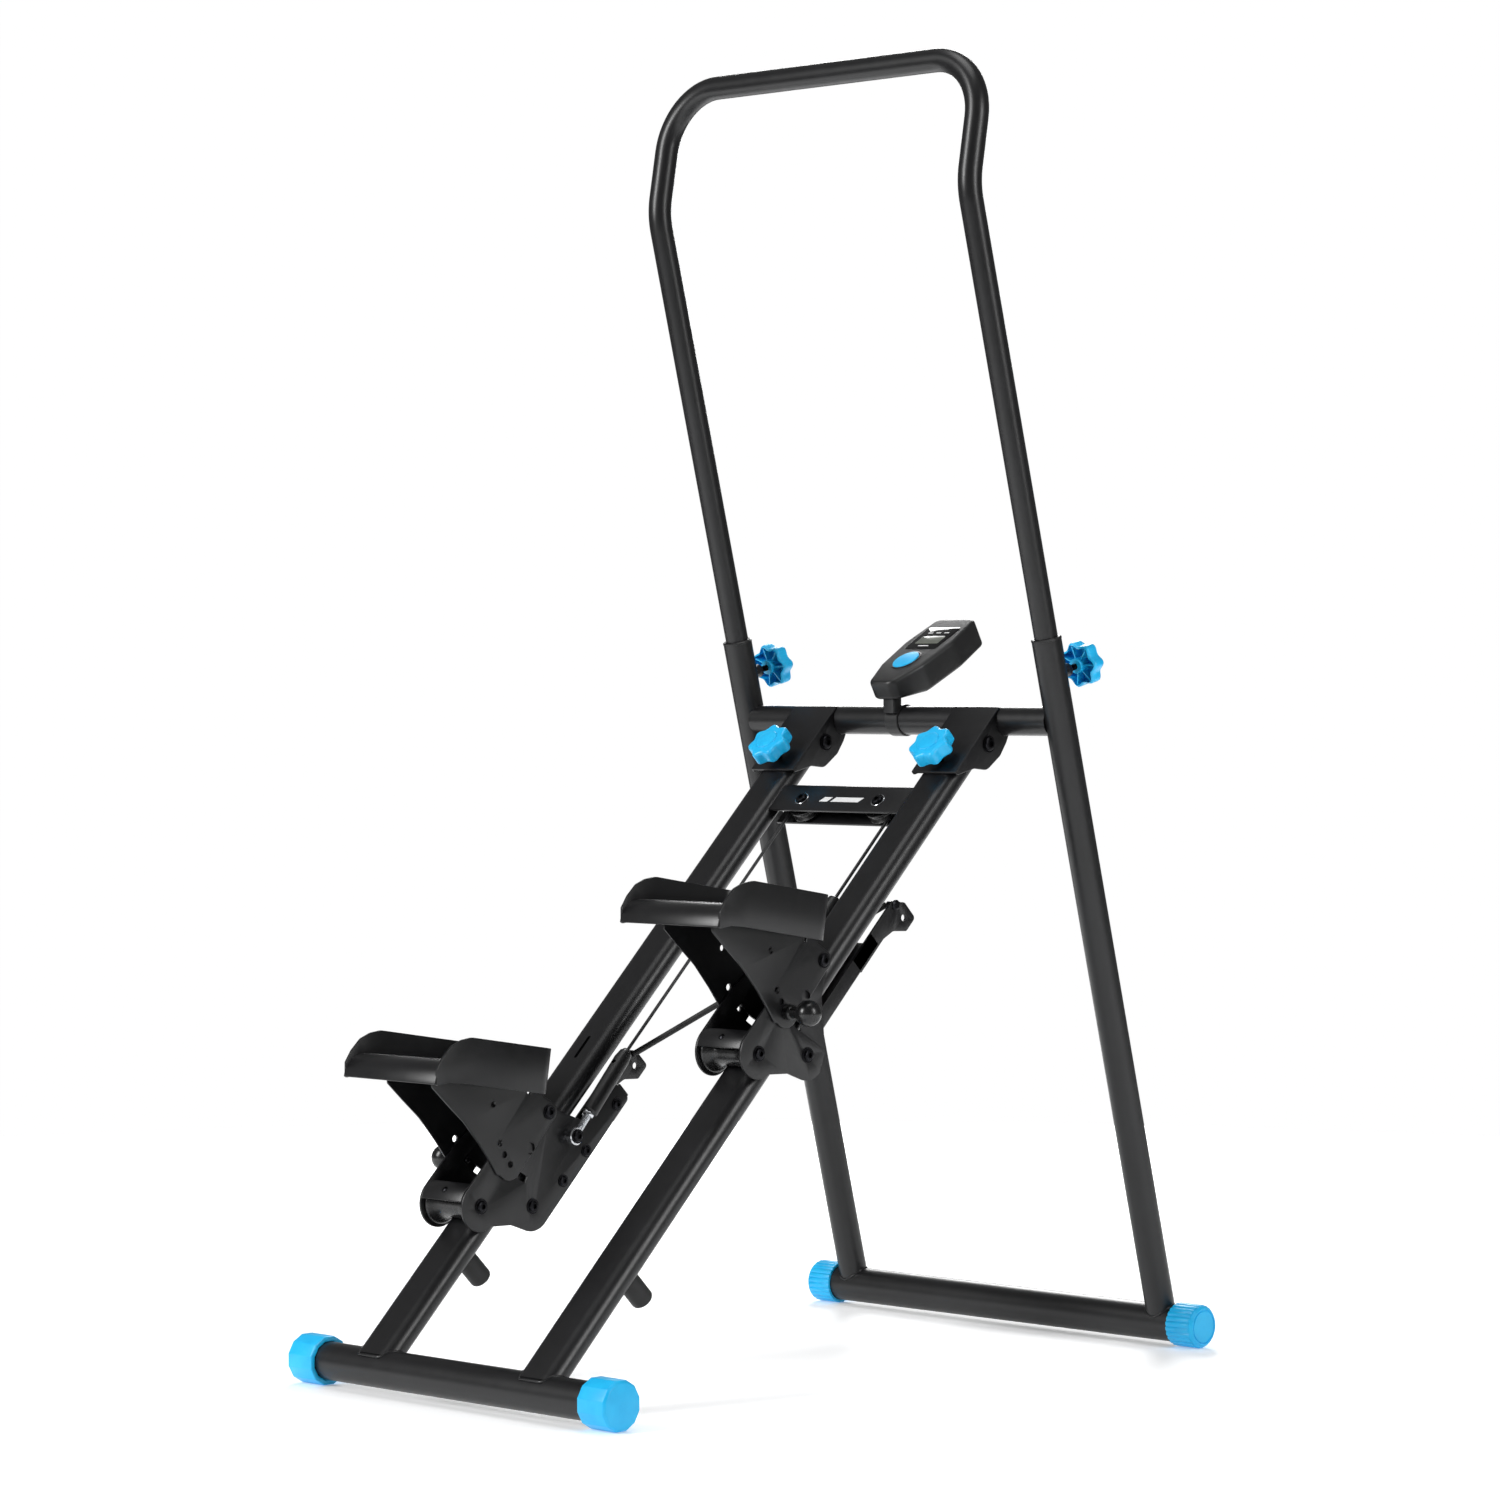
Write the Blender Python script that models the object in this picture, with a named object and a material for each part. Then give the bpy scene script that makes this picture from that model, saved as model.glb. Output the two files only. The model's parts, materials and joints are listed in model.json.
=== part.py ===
"""Folding rail stepper: two pedal carriages roll on inclined rails and pull each other over two pulleys.

Metres, +Z up, +X to the right of the user, who stands on the pedals and faces +Y.
The origin is on the floor, at the middle of the footprint.

Rail axes: the two rails, the carriages and the pedals are built in the frame of the empty
rail_axes, whose X is across, Y runs up the rails and Z points out of their front faces.
"""

import math

import bmesh
import bpy
from mathutils import Matrix, Vector

# ---------------------------------------------------------------- sizes, in metres
GAP = 0.0003  # between pieces that touch
SHEET = 0.003  # thickness of the pressed steel plates

# Base
BASE_DEPTH = 0.9796  # front base tube axis to rear base tube axis
FRONT_TUBE_R = 0.0235
FRONT_CAP_R = 0.0295  # to the flats of the 12-sided cap, which stands on one of them
FRONT_CAP_LENGTH = 0.0455
FRONT_CAP_PAST_RAIL = 0.1366  # rail's middle to the end of the front cap
REAR_TUBE_R = 0.0239
REAR_CAP_R = 0.0278
REAR_CAP_LENGTH = 0.0415
REAR_CAP_PAST_UPRIGHT = 0.0675  # upright's axis to the end of the rear cap
CAP_CHAMFER = 0.003
CAP_END = 0.004  # thickness of a cap's end wall
BASE_TUBE_WALL = 0.0018

# Upright frame
UPRIGHT_X = 0.2705
UPRIGHT_RUN = 0.205  # the uprights lean this far forward between rear base and cross tube
CROSS_HEIGHT = 0.8044
CROSS_TUBE_R = 0.0189
SLEEVE_R = 0.01905
SLEEVE_WALL = 0.0015
SLEEVE_RISE = 0.102  # height of a sleeve's top over the cross tube's axis
TUBE_WALL = 0.0015

# Handlebar
HANDLE_IN_SLEEVE = 0.00405  # room between the two for the sleeve's wall and a bush
HANDLE_WALL = 0.0015
HANDLE_INSERTED = 0.17  # length inside each sleeve
HANDLE_BEND_Z = 1.466
HANDLE_TOP_Z = 1.627
HANDLE_TOP_RUN = 0.0285  # the part over the bend leans back this far
HANDLE_CORNER_R = 0.080
HANDLE_BEND_R = 0.100

# Fold hinge, under and in front of the cross tube
PIVOT_FORWARD = 0.0330
PIVOT_DROP = 0.0290
HINGE_BOLT_R = 0.005
HINGE_EAR_INSIDE = 0.035
HINGE_LOBE_R = 0.024
HINGE_PLATE_REACH = 0.069  # from the pivot down to the front plate's lower edge
HINGE_PLATE_RISE = 0.048  # from the pivot up to its upper edge
HINGE_PLATE_GAP = 0.001  # between rail and front plate

# Rails: flat-oval tubes
RAIL_X = 0.1414
RAIL_HALF_WIDTH = 0.030
RAIL_HALF_DEPTH = 0.015
RAIL_WALL = 0.0018
BARREL_OVER = 0.0005  # the cross barrel at each rail's upper end is this much thicker than half the rail
BARREL_INSET = 0.001
RAIL_SHORT = 0.0037  # the flat-oval tube stops this far below the hinge bolt
RAIL_FOOT_RISE = 0.013  # the rail's centre line passes this far over the front tube's axis
STOP_R = 0.0138
STOP_LENGTH = 0.046
STOP_ALONG = 0.174

# Pulley bridge and cable
BRIDGE_DROP = 0.083  # pivot down to the bridge's upper edge
BRIDGE_HEIGHT = 0.047
BRIDGE_LAP = 0.008  # its ends lie this far over the rails' inner edges
BRIDGE_BEHIND = 0.0045  # its back stands this far behind the rails
PULLEY_OUT = -0.006  # pulleys and cable, from the rails' middle plane
PULLEY_ROOM = 0.0005  # between the cable and the bridge's web
PULLEY_GROOVE_R = 0.0193
PULLEY_FLANGE_R = 0.0225
PULLEY_HALF = 0.006
PULLEY_RIM = 0.0015
PULLEY_BOLT_R = 0.004
CABLE_R = 0.0022
CABLE_PAST_PLATE = 0.0174  # cable to a carriage plate's inner face
EYE = (0.128, -0.014)  # along, out: the cable fitting's eye
EYE_R = 0.0085
TENSIONER_ROD_R = 0.0035
TENSIONER_SLEEVE_R = 0.010
TENSIONER_SLEEVE = (0.037, 0.128)  # start and end, from the eye
TENSIONER_TOP = 0.262

# Elastic cord between the tips of the two carriage arms
CORD_R = 0.004
CORD_INSET = 0.012  # from the rail's middle plane, towards the middle of the machine
CORD_ALONG = 0.292
CORD_OUT = -0.048
CORD_STUD_R = 0.005
CORD_STUD_END = 0.0089  # its length, from the rail's middle plane

# Carriages: distances along the rail are from the middle between the two roller axles
LEFT_ALONG = 0.2429
RIGHT_ALONG = 0.5139
PLATE_IN = 0.036  # rail's middle to a plate's inner face
ROLLER_SPREAD = 0.028
ROLLER_CORE_R = 0.017
ROLLER_RIM_R = 0.0265
ROLLER_SIDE_GAP = 0.0015
ROLLER_GROOVE_GAP = 0.0007  # round the rail's edges
ROLLER_RUN = 0.0003  # running clearance between roller and rail
AXLE_R = 0.004
BORE_GAP = 0.0001  # running clearance of a bore on its bolt
LOBE_R = 0.031
BOLT_HEAD_R = 0.0085
BOLT_HEAD = 0.004
ARM_TOP = 0.230
ARM_TAB_TOP = 0.306
ARM_REAR = -0.062
ARM_FRONT = -0.040
ARM_LOW = 0.062
ARM_MIDDLE = 0.002  # its web lies this far past the rail's middle plane

# Pedals
PEDAL_PIVOT = (0.126, 0.0315)  # along, out
PEDAL_LOBE_R = 0.015
PEDAL_PITCH = math.radians(9)  # the tread slopes down to the toe
PEDAL_HALF_WIDTH = 0.084
PEDAL_SHEET = 0.003
PEDAL_TOE = -0.0355
PEDAL_HEEL = -0.230
PEDAL_TREAD = 0.046
PEDAL_GUARD_TOP = 0.0763
PEDAL_GUARD_LOW = 0.0203
PEDAL_CORNER_R = 0.022
PEDAL_ROLL_R = 0.030
PEDAL_ROOM = 0.001  # between guard and bracket
GUARD_HEEL_R = 0.047  # round the guards' upper heel corner
GUARD_SETBACK = 0.001
PIN_RADIUS = 0.088  # pivot to pull pin
PIN_R = 0.004
PIN_ANGLE = 178.0  # direction of its hole from the pedal pivot, in degrees
PIN_DEPTH = 0.0085
PIN_BALL_R = 0.0145
PIN_BALL_OUT = 0.036
PEDAL_TILT = 21  # degrees between the first and the last pin hole

# Star knobs
KNOB_R = 0.0285
KNOB_LOBES = 7
KNOB_STUD_R = 0.004
KNOB_HUB_R = 0.010
SLEEVE_BOSS_R = 0.0085
SLEEVE_BOSS = 0.012  # it stands this far out of the sleeve
SLEEVE_STUD = 0.030
RAIL_STUD = 0.014
RAIL_KNOB_DROP = 0.048  # pivot to rail knob, down the rail
SLEEVE_KNOB_DROP = 0.046  # sleeve top to sleeve knob, down the sleeve

# Console
CONSOLE_TILT = math.radians(29)
CONSOLE_AT = Vector((0, 0.0094, 0.0782))  # middle of the button, from the cross tube's axis
CONSOLE_FRONT = -0.060
CONSOLE_REAR = 0.114
CONSOLE_HALF_WIDTH = 0.042
CONSOLE_DEPTH = 0.038
BUTTON_R = (0.017, 0.020)
BUTTON_DEPTH = 0.004
BUTTON_STANDS = 0.002
CONSOLE_NOSE_R = 0.024
CONSOLE_CORNER_R = 0.014
CONSOLE_UNDER = 0.022  # depth of its nose
CONSOLE_FOOT = (0.010, 0.008, 0.030)  # half width, half length, height

# ---------------------------------------------------------------- places worked out from the sizes
FRONT_Y = -(BASE_DEPTH + FRONT_CAP_R + REAR_CAP_R) / 2 + FRONT_CAP_R
REAR_Y = FRONT_Y + BASE_DEPTH
CROSS = Vector((0, REAR_Y - UPRIGHT_RUN, CROSS_HEIGHT))
REAR_AXIS = Vector((0, REAR_Y, REAR_CAP_R))
UPRIGHT_DIR = (CROSS - REAR_AXIS).normalized()
LEAN = math.atan2(-UPRIGHT_DIR.y, UPRIGHT_DIR.z)
SLEEVE_TOP = CROSS + UPRIGHT_DIR * (SLEEVE_RISE / UPRIGHT_DIR.z)
PIVOT = CROSS + Vector((0, -PIVOT_FORWARD, -PIVOT_DROP))
FOOT = Vector((0, FRONT_Y, FRONT_CAP_R + RAIL_FOOT_RISE))
RAIL_ANGLE = math.atan2(PIVOT.z - FOOT.z, PIVOT.y - FOOT.y)
PIVOT_ALONG = (PIVOT - FOOT).length
BRIDGE_TOP = PIVOT_ALONG - BRIDGE_DROP
BRIDGE_OUT = (-RAIL_HALF_DEPTH - BRIDGE_BEHIND, RAIL_HALF_DEPTH / 2)
PULLEY_ALONG = BRIDGE_TOP - SHEET - PULLEY_ROOM - PULLEY_GROOVE_R - 2 * CABLE_R
CABLE_IN = PLATE_IN + CABLE_PAST_PLATE
CABLE_X = RAIL_X - CABLE_IN
PULLEY_X = CABLE_X - PULLEY_GROOVE_R - CABLE_R
ROLLER_OUT = RAIL_HALF_DEPTH + ROLLER_CORE_R + ROLLER_RUN
ROLLER_GROOVE_R = RAIL_HALF_DEPTH + ROLLER_GROOVE_GAP
ROLLER_HALF = PLATE_IN - ROLLER_SIDE_GAP
BARREL_R = RAIL_HALF_DEPTH + BARREL_OVER
HANDLE_R = SLEEVE_R - HANDLE_IN_SLEEVE
FRONT_HALF = RAIL_X + FRONT_CAP_PAST_RAIL
REAR_HALF = UPRIGHT_X + REAR_CAP_PAST_UPRIGHT
PLATE_OUT = PLATE_IN + SHEET
BRACKET_IN = PLATE_OUT + GAP
BRACKET_OUT = BRACKET_IN + SHEET
PEDAL_TURN = -(RAIL_ANGLE + PEDAL_PITCH)  # the pedal axes' turn about X, from the rail axes

SEGMENTS = 20  # round a tube
BOLT_SEGMENTS = 12
CUT = 0.06  # half the length of a cutter across a rail
SMOOTH_ANGLE = math.radians(35)


# ---------------------------------------------------------------- materials
def finish(name, colour, roughness, metallic=0.0):
    made = bpy.data.materials.new(name)
    made.use_nodes = True
    shader = made.node_tree.nodes["Principled BSDF"]
    shader.inputs["Base Color"].default_value = (*colour, 1)
    shader.inputs["Roughness"].default_value = roughness
    shader.inputs["Metallic"].default_value = metallic
    return made


# ---------------------------------------------------------------- outlines and paths
def arc(centre, radius, start, end, steps):
    """Points on a circle, from one angle to another in degrees."""
    angles = [math.radians(start + (end - start) * i / steps) for i in range(steps + 1)]
    return [(centre[0] + radius * math.cos(a), centre[1] + radius * math.sin(a)) for a in angles]


def flat_oval(half_width, half_depth):
    middle = half_width - half_depth
    return arc((middle, 0), half_depth, -90, 90, 8) + arc((-middle, 0), half_depth, 90, 270, 8)


def rounded_path(corners, radius_of, steps=4):
    """A polyline whose inner corners become arcs; radius_of gives each corner's bend radius."""
    path = [corners[0]]
    for before, corner, after, radius in zip(corners, corners[1:-1], corners[2:], radius_of):
        into, out = (corner - before).normalized(), (after - corner).normalized()
        half = into.angle(out) / 2
        back = radius * math.tan(half)
        centre = corner + (out - into).normalized() * (radius / math.cos(half))
        start = corner - into * back - centre
        axis = into.cross(out)
        for i in range(steps + 1):
            path.append(centre + Matrix.Rotation(2 * half * i / steps, 3, axis) @ start)
    path.append(corners[-1])
    return path


# ---------------------------------------------------------------- solids
def place(name, bm, material, parent=None, at=None):
    """Makes the object of a finished bmesh, in its parent's axes, at a place given as a matrix."""
    bmesh.ops.remove_doubles(bm, verts=bm.verts, dist=1e-7)
    bmesh.ops.recalc_face_normals(bm, faces=bm.faces)
    mesh = bpy.data.meshes.new(name)
    bm.to_mesh(mesh)
    bm.free()
    mesh.shade_smooth()
    mesh.set_sharp_from_angle(angle=SMOOTH_ANGLE)
    obj = bpy.data.objects.new(name, mesh)
    bpy.context.scene.collection.objects.link(obj)
    obj.parent = parent
    obj.matrix_local = at or Matrix()
    if material:
        mesh.materials.append(material)
    else:
        obj.hide_render = True
        obj.display_type = "WIRE"
    return obj


def loft(rings, closed=False):
    """A bmesh through rings of equal length: capped at both ends, or closed on itself."""
    bm = bmesh.new()
    loops = [[bm.verts.new(point) for point in ring] for ring in rings]
    pairs = list(zip(loops, loops[1:] + loops[:1])) if closed else list(zip(loops, loops[1:]))
    for low, high in pairs:
        for i in range(len(low)):
            j = (i + 1) % len(low)
            bm.faces.new((low[i], low[j], high[j], high[i]))
    if not closed:
        bm.faces.new(loops[0][::-1])
        bm.faces.new(loops[-1])
    return bm


def prism(name, outline, low, high, material=None, parent=None, at=None):
    """An outline of (Y, Z) points, extruded along X."""
    return place(name, loft([[(x, *p) for p in outline] for x in (low, high)]), material, parent, at)


def turned(name, profile, material=None, parent=None, at=None, segments=SEGMENTS, closed=False):
    """A profile of (X, radius) points, turned about X: capped at both ends, or closed where it has a bore."""
    rings = [[(x, r * math.cos(a), r * math.sin(a)) for a in angles_round(segments)] for x, r in profile]
    return place(name, loft(rings, closed), material, parent, at)


def rod(name, start, end, radius, material=None, parent=None, segments=SEGMENTS):
    """A round bar between two points."""
    start, end = Vector(start), Vector(end)
    turn = (end - start).to_track_quat("X", "Z").to_matrix().to_4x4()
    length = (end - start).length
    profile = [(0, radius), (length, radius)]
    return turned(name, profile, material, parent, Matrix.Translation(start) @ turn, segments)


def tube(name, path, outer, wall, material, parent=None, sides=SEGMENTS):
    """A round tube, open at both ends, along a path. Its rings keep their turn along the path."""
    path = [Vector(p) for p in path]
    tangents = [(b - a).normalized() for a, b in zip(path, path[1:])]
    tangents = [tangents[0]] + [(a + b).normalized() for a, b in zip(tangents, tangents[1:])] + [tangents[-1]]
    side = tangents[0].orthogonal().normalized()
    outside, inside = [], []
    for point, tangent in zip(path, tangents):
        side = (side - tangent * side.dot(tangent)).normalized()
        other = tangent.cross(side)
        spokes = [side * math.cos(a) + other * math.sin(a) for a in angles_round(sides)]
        outside.append([point + spoke * outer for spoke in spokes])
        inside.append([point + spoke * (outer - wall) for spoke in spokes])
    return place(name, loft(outside + inside[::-1], closed=True), material, parent)


def angles_round(count):
    return [2 * math.pi * i / count for i in range(count)]


def band(outline_out, outline_in, low, high):
    """A bmesh of a closed band between two outlines of equal length, extruded along Y."""
    sections = [(outline_out, low), (outline_out, high), (outline_in, high), (outline_in, low)]
    return loft([[(x, y, z) for x, z in outline] for outline, y in sections], closed=True)


def boolean(obj, operation, *helpers):
    for helper in helpers:
        modifier = obj.modifiers.new(operation.lower() + " " + helper.name, "BOOLEAN")
        modifier.operation = operation
        modifier.solver = "EXACT"
        modifier.object = helper
    return obj


def axes(name, matrix, parent=None):
    """An empty that holds a frame or a joint axis."""
    empty = bpy.data.objects.new(name, None)
    empty.empty_display_size = 0.05
    bpy.context.scene.collection.objects.link(empty)
    empty.parent = parent
    empty.matrix_local = matrix
    return empty


def bolt_profile(low, high, shaft, head=BOLT_HEAD_R, head_height=BOLT_HEAD):
    """A through bolt along X with a button head at its high end and a nut at its low end."""
    return [
        (low - head_height, head), (low, head), (low, shaft),
        (high, shaft), (high, head), (high + head_height, head * 0.7),
    ]  # fmt: skip


# ---------------------------------------------------------------- base and uprights
def make_base(name, half, cap, tube_r, y, sides, parent, steel, blue):
    """A base tube across the floor with a cap on each end. cap is (radius to its flats, length)."""
    cap_r, cap_length = cap
    z = cap_r
    reach = half - CAP_END - GAP
    ends = [(-reach, y, z), (reach, y, z)]
    made = [tube(name + "_base_tube", ends, tube_r, BASE_TUBE_WALL, steel, parent)]
    to_corner = 1 / math.cos(math.pi / sides)
    outer = cap_r * to_corner
    inner = (tube_r + GAP) * to_corner
    profile = [
        (half, outer - CAP_CHAMFER), (half - CAP_CHAMFER, outer), (half - cap_length, outer),
        (half - cap_length, inner), (half - CAP_END, inner),
    ]  # fmt: skip
    turn = Matrix.Rotation(math.pi / sides, 4, "X")
    for side, flip in (("left", math.pi), ("right", 0)):
        at = Matrix.Translation((0, y, z)) @ Matrix.Rotation(flip, 4, "Z") @ turn
        made.append(turned(f"{side}_{name}_cap", profile, blue, parent, at, sides))
    return made


def cope_cutter(name, start, end, radius, parent=None):
    """A cutter that leaves a gap round a tube: its flats lie outside the tube."""
    sides = 32
    return rod(name, start, end, (radius + GAP) / math.cos(math.pi / sides), None, parent, sides)


def make_uprights(steel):
    """Two leaning sleeves on the rear base tube, each with a welded boss for its star knob's stud."""
    reach = Vector((REAR_HALF, 0, 0))
    saddle = cope_cutter("rear_tube_cutter", REAR_AXIS - reach, REAR_AXIS + reach, REAR_TUBE_R)
    behind = Vector((0, math.cos(LEAN), math.sin(LEAN)))
    for side, sign in (("left", -1), ("right", 1)):
        shift = Vector((sign * UPRIGHT_X, 0, 0))
        path = [REAR_AXIS + shift, SLEEVE_TOP + shift]
        sleeve = tube(side + "_upright", path, SLEEVE_R, SLEEVE_WALL, steel)
        knob_at = sleeve_knob_at(sign)
        boss_ends = [knob_at + behind * (SLEEVE_R + out) for out in (-SLEEVE_WALL / 2, SLEEVE_BOSS)]
        boss = rod(side + "_boss", *boss_ends, SLEEVE_BOSS_R)
        hole = rod(side + "_stud_hole", knob_at, knob_at + behind * CUT, KNOB_STUD_R + GAP)
        boolean(sleeve, "UNION", boss)
        boolean(sleeve, "DIFFERENCE", saddle, hole)


def sleeve_knob_at(sign):
    return SLEEVE_TOP - UPRIGHT_DIR * SLEEVE_KNOB_DROP + Vector((sign * UPRIGHT_X, 0, 0))


def make_cross_tube(steel):
    reach = Vector((UPRIGHT_X - SLEEVE_R / 2, 0, 0))
    cross = tube("cross_tube", [CROSS - reach, CROSS + reach], CROSS_TUBE_R, TUBE_WALL, steel)
    for sign in (-1, 1):
        shift = Vector((sign * UPRIGHT_X, 0, 0))
        cutter = cope_cutter(f"sleeve_cutter{sign}", REAR_AXIS + shift, SLEEVE_TOP + shift, SLEEVE_R)
        boolean(cross, "DIFFERENCE", cutter)


def make_handlebar(steel):
    """One tube: up out of both sleeves, a bend back, and rounded corners into the top bar."""
    low = SLEEVE_TOP - UPRIGHT_DIR * HANDLE_INSERTED
    bend = REAR_AXIS + UPRIGHT_DIR * ((HANDLE_BEND_Z - REAR_CAP_R) / UPRIGHT_DIR.z)
    top = bend + Vector((0, HANDLE_TOP_RUN, HANDLE_TOP_Z - HANDLE_BEND_Z))
    half = [low, bend, top]
    shift = Vector((UPRIGHT_X, 0, 0))
    corners = [p - shift for p in half] + [p + shift for p in half[::-1]]
    radii = [HANDLE_BEND_R, HANDLE_CORNER_R, HANDLE_CORNER_R, HANDLE_BEND_R]
    tube("handlebar", rounded_path(corners, radii), HANDLE_R, HANDLE_WALL, steel, sides=16)


# ---------------------------------------------------------------- fold hinge
def make_hinge_brackets(rail_axes, steel):
    """Folded U brackets, welded round the cross tube: a front plate over the rail and two bored ears."""
    plate = RAIL_HALF_DEPTH + HINGE_PLATE_GAP
    top = PIVOT_ALONG + HINGE_PLATE_RISE
    low = PIVOT_ALONG - HINGE_PLATE_REACH
    lobe = arc((PIVOT_ALONG, 0), HINGE_LOBE_R, 215, 320, 8)
    outline = [(top, plate + SHEET), (low, plate + SHEET), (low, plate - 0.004), *lobe, (top, -0.014)]
    cross = rail_axes.matrix_world.inverted() @ CROSS
    reach = HINGE_EAR_INSIDE + SHEET
    inside = [(low - CUT, plate), (low - CUT, -CUT), (top + CUT, -CUT), (top + CUT, plate)]
    for side, sign in (("left", -1), ("right", 1)):
        x = sign * RAIL_X
        at = Matrix.Translation((x, 0, 0))
        bracket = prism(side + "_hinge_bracket", outline, -reach, reach, steel, rail_axes, at)
        ears = (-HINGE_EAR_INSIDE, HINGE_EAR_INSIDE)
        hollow = prism(side + "_bracket_inside", inside, *ears, None, rail_axes, at)
        saddle = cope_cutter(side + "_saddle_cutter", *across_rail(x, *cross.yz), CROSS_TUBE_R, rail_axes)
        bore = rod(side + "_hinge_bore", *across_rail(x, PIVOT_ALONG, 0), HINGE_BOLT_R + GAP, None, rail_axes,
                   BOLT_SEGMENTS)  # fmt: skip
        along = PIVOT_ALONG - RAIL_KNOB_DROP
        stud = rod(side + "_rail_stud_hole", (x, along, 0), (x, along, CUT), KNOB_STUD_R + GAP, None, rail_axes)
        boolean(bracket, "DIFFERENCE", hollow, saddle, bore, stud)


def across_rail(x, along, out):
    """The two ends of a cutter that goes across a rail."""
    return (x - CUT, along, out), (x + CUT, along, out)


def make_hinge_bolts(rail_axes, dark):
    reach = HINGE_EAR_INSIDE + SHEET + GAP
    bolt = bolt_profile(-reach, reach, HINGE_BOLT_R)
    for side, sign in (("left", -1), ("right", 1)):
        at = Matrix.Translation((sign * RAIL_X, PIVOT_ALONG, 0))
        turned(side + "_hinge_bolt", bolt, dark, rail_axes, at, BOLT_SEGMENTS)


# ---------------------------------------------------------------- rail frame
def make_rails(rail_axes, steel):
    """Flat-oval rails: coped onto the front base tube, and ending in a bored barrel on the hinge bolt."""
    foot = rail_axes.matrix_world.inverted() @ Vector((0, FRONT_Y, FRONT_CAP_R))
    outer = flat_oval(RAIL_HALF_WIDTH, RAIL_HALF_DEPTH)
    inner = flat_oval(RAIL_HALF_WIDTH - RAIL_WALL, RAIL_HALF_DEPTH - RAIL_WALL)
    for side, sign in (("left", -1), ("right", 1)):
        x = sign * RAIL_X
        at = Matrix.Translation((x, 0, 0))
        rail = place(side + "_rail", band(outer, inner, 0, PIVOT_ALONG - RAIL_SHORT), steel, rail_axes, at)
        half = RAIL_HALF_WIDTH - BARREL_INSET
        barrel_ends = [(x - half, PIVOT_ALONG, 0), (x + half, PIVOT_ALONG, 0)]
        barrel = rod(side + "_barrel", *barrel_ends, BARREL_R, None, rail_axes)
        bore_r = HINGE_BOLT_R + BORE_GAP
        bore = rod(side + "_barrel_bore", *across_rail(x, PIVOT_ALONG, 0), bore_r, None, rail_axes)
        saddle = cope_cutter(side + "_foot_cutter", *across_rail(x, *foot.yz), FRONT_TUBE_R, rail_axes)
        boolean(rail, "UNION", barrel)
        boolean(rail, "DIFFERENCE", bore, saddle)


def make_stops(rail_axes, rubber):
    """Rubber buffers under the rails, where a carriage would come down too far."""
    start = -RAIL_HALF_DEPTH - GAP
    for side, sign in (("left", -1), ("right", 1)):
        x = sign * RAIL_X
        turn = Matrix.Translation((x, STOP_ALONG, start)) @ Matrix.Rotation(math.pi / 2, 4, "Y")
        profile = [(0, STOP_R), (STOP_LENGTH - CAP_CHAMFER, STOP_R), (STOP_LENGTH, STOP_R - CAP_CHAMFER)]
        turned(side + "_rail_stop", profile, rubber, rail_axes, turn)


def make_bridge(rail_axes, steel):
    """A U channel between the rails, open at the bottom, that holds the pulleys."""
    back, front = BRIDGE_OUT
    low = BRIDGE_TOP - BRIDGE_HEIGHT
    web = BRIDGE_TOP - SHEET
    outline = [
        (BRIDGE_TOP, front), (low, front), (low, front - SHEET), (web, front - SHEET),
        (web, back + SHEET), (low, back + SHEET), (low, back), (BRIDGE_TOP, back),
    ]  # fmt: skip
    reach = RAIL_X - RAIL_HALF_WIDTH + BRIDGE_LAP
    bridge = prism("pulley_bridge", outline, -reach, reach, steel, rail_axes)
    fit = flat_oval(RAIL_HALF_WIDTH + GAP, RAIL_HALF_DEPTH + GAP)
    for sign in (-1, 1):
        rings = [[(p[0], y, p[1]) for p in fit] for y in (low - CUT, BRIDGE_TOP + CUT)]
        at = Matrix.Translation((sign * RAIL_X, 0, 0))
        beside = place(f"rail_cutter{sign}", loft(rings), None, rail_axes, at)
        x = sign * PULLEY_X
        ends = [(x, PULLEY_ALONG, -CUT), (x, PULLEY_ALONG, CUT)]
        hole = rod(f"pulley_hole{sign}", *ends, PULLEY_BOLT_R + GAP, None, rail_axes)
        boolean(bridge, "DIFFERENCE", beside, hole)


def make_pulleys(rail_axes, plastic, dark):
    """Grooved pulleys on bolts that stand square to the rails."""
    floor = PULLEY_GROOVE_R - GAP
    bore = PULLEY_BOLT_R + BORE_GAP
    profile = [
        (-PULLEY_HALF, bore), (-PULLEY_HALF, PULLEY_FLANGE_R), (PULLEY_RIM - PULLEY_HALF, PULLEY_FLANGE_R),
        (-CABLE_R, floor), (CABLE_R, floor),
        (PULLEY_HALF - PULLEY_RIM, PULLEY_FLANGE_R), (PULLEY_HALF, PULLEY_FLANGE_R), (PULLEY_HALF, bore),
    ]  # fmt: skip
    low, high = (face - PULLEY_OUT for face in BRIDGE_OUT)
    bolt = bolt_profile(low - GAP, high + GAP, PULLEY_BOLT_R)
    for side, sign in (("left", -1), ("right", 1)):
        spot = Matrix.Translation((sign * PULLEY_X, PULLEY_ALONG, PULLEY_OUT))
        at = spot @ Matrix.Rotation(-math.pi / 2, 4, "Y")
        turned(side + "_pulley", profile, plastic, rail_axes, at, closed=True)
        turned(side + "_pulley_bolt", bolt, dark, rail_axes, at, BOLT_SEGMENTS)


def cord(name, points, radius, material, rail_axes, sides=8):
    """A cable or elastic cord: a round bar along a path."""
    path = [Vector(p) for p in points]
    rings = []
    for i, point in enumerate(path):
        tangent = (path[min(i + 1, len(path) - 1)] - path[max(i - 1, 0)]).normalized()
        side = tangent.cross(Vector((0, 0, 1))).normalized()
        other = side.cross(tangent)
        rings.append([point + (side * math.cos(a) + other * math.sin(a)) * radius for a in angles_round(sides)])
    return place(name, loft(rings), material, rail_axes)


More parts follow.
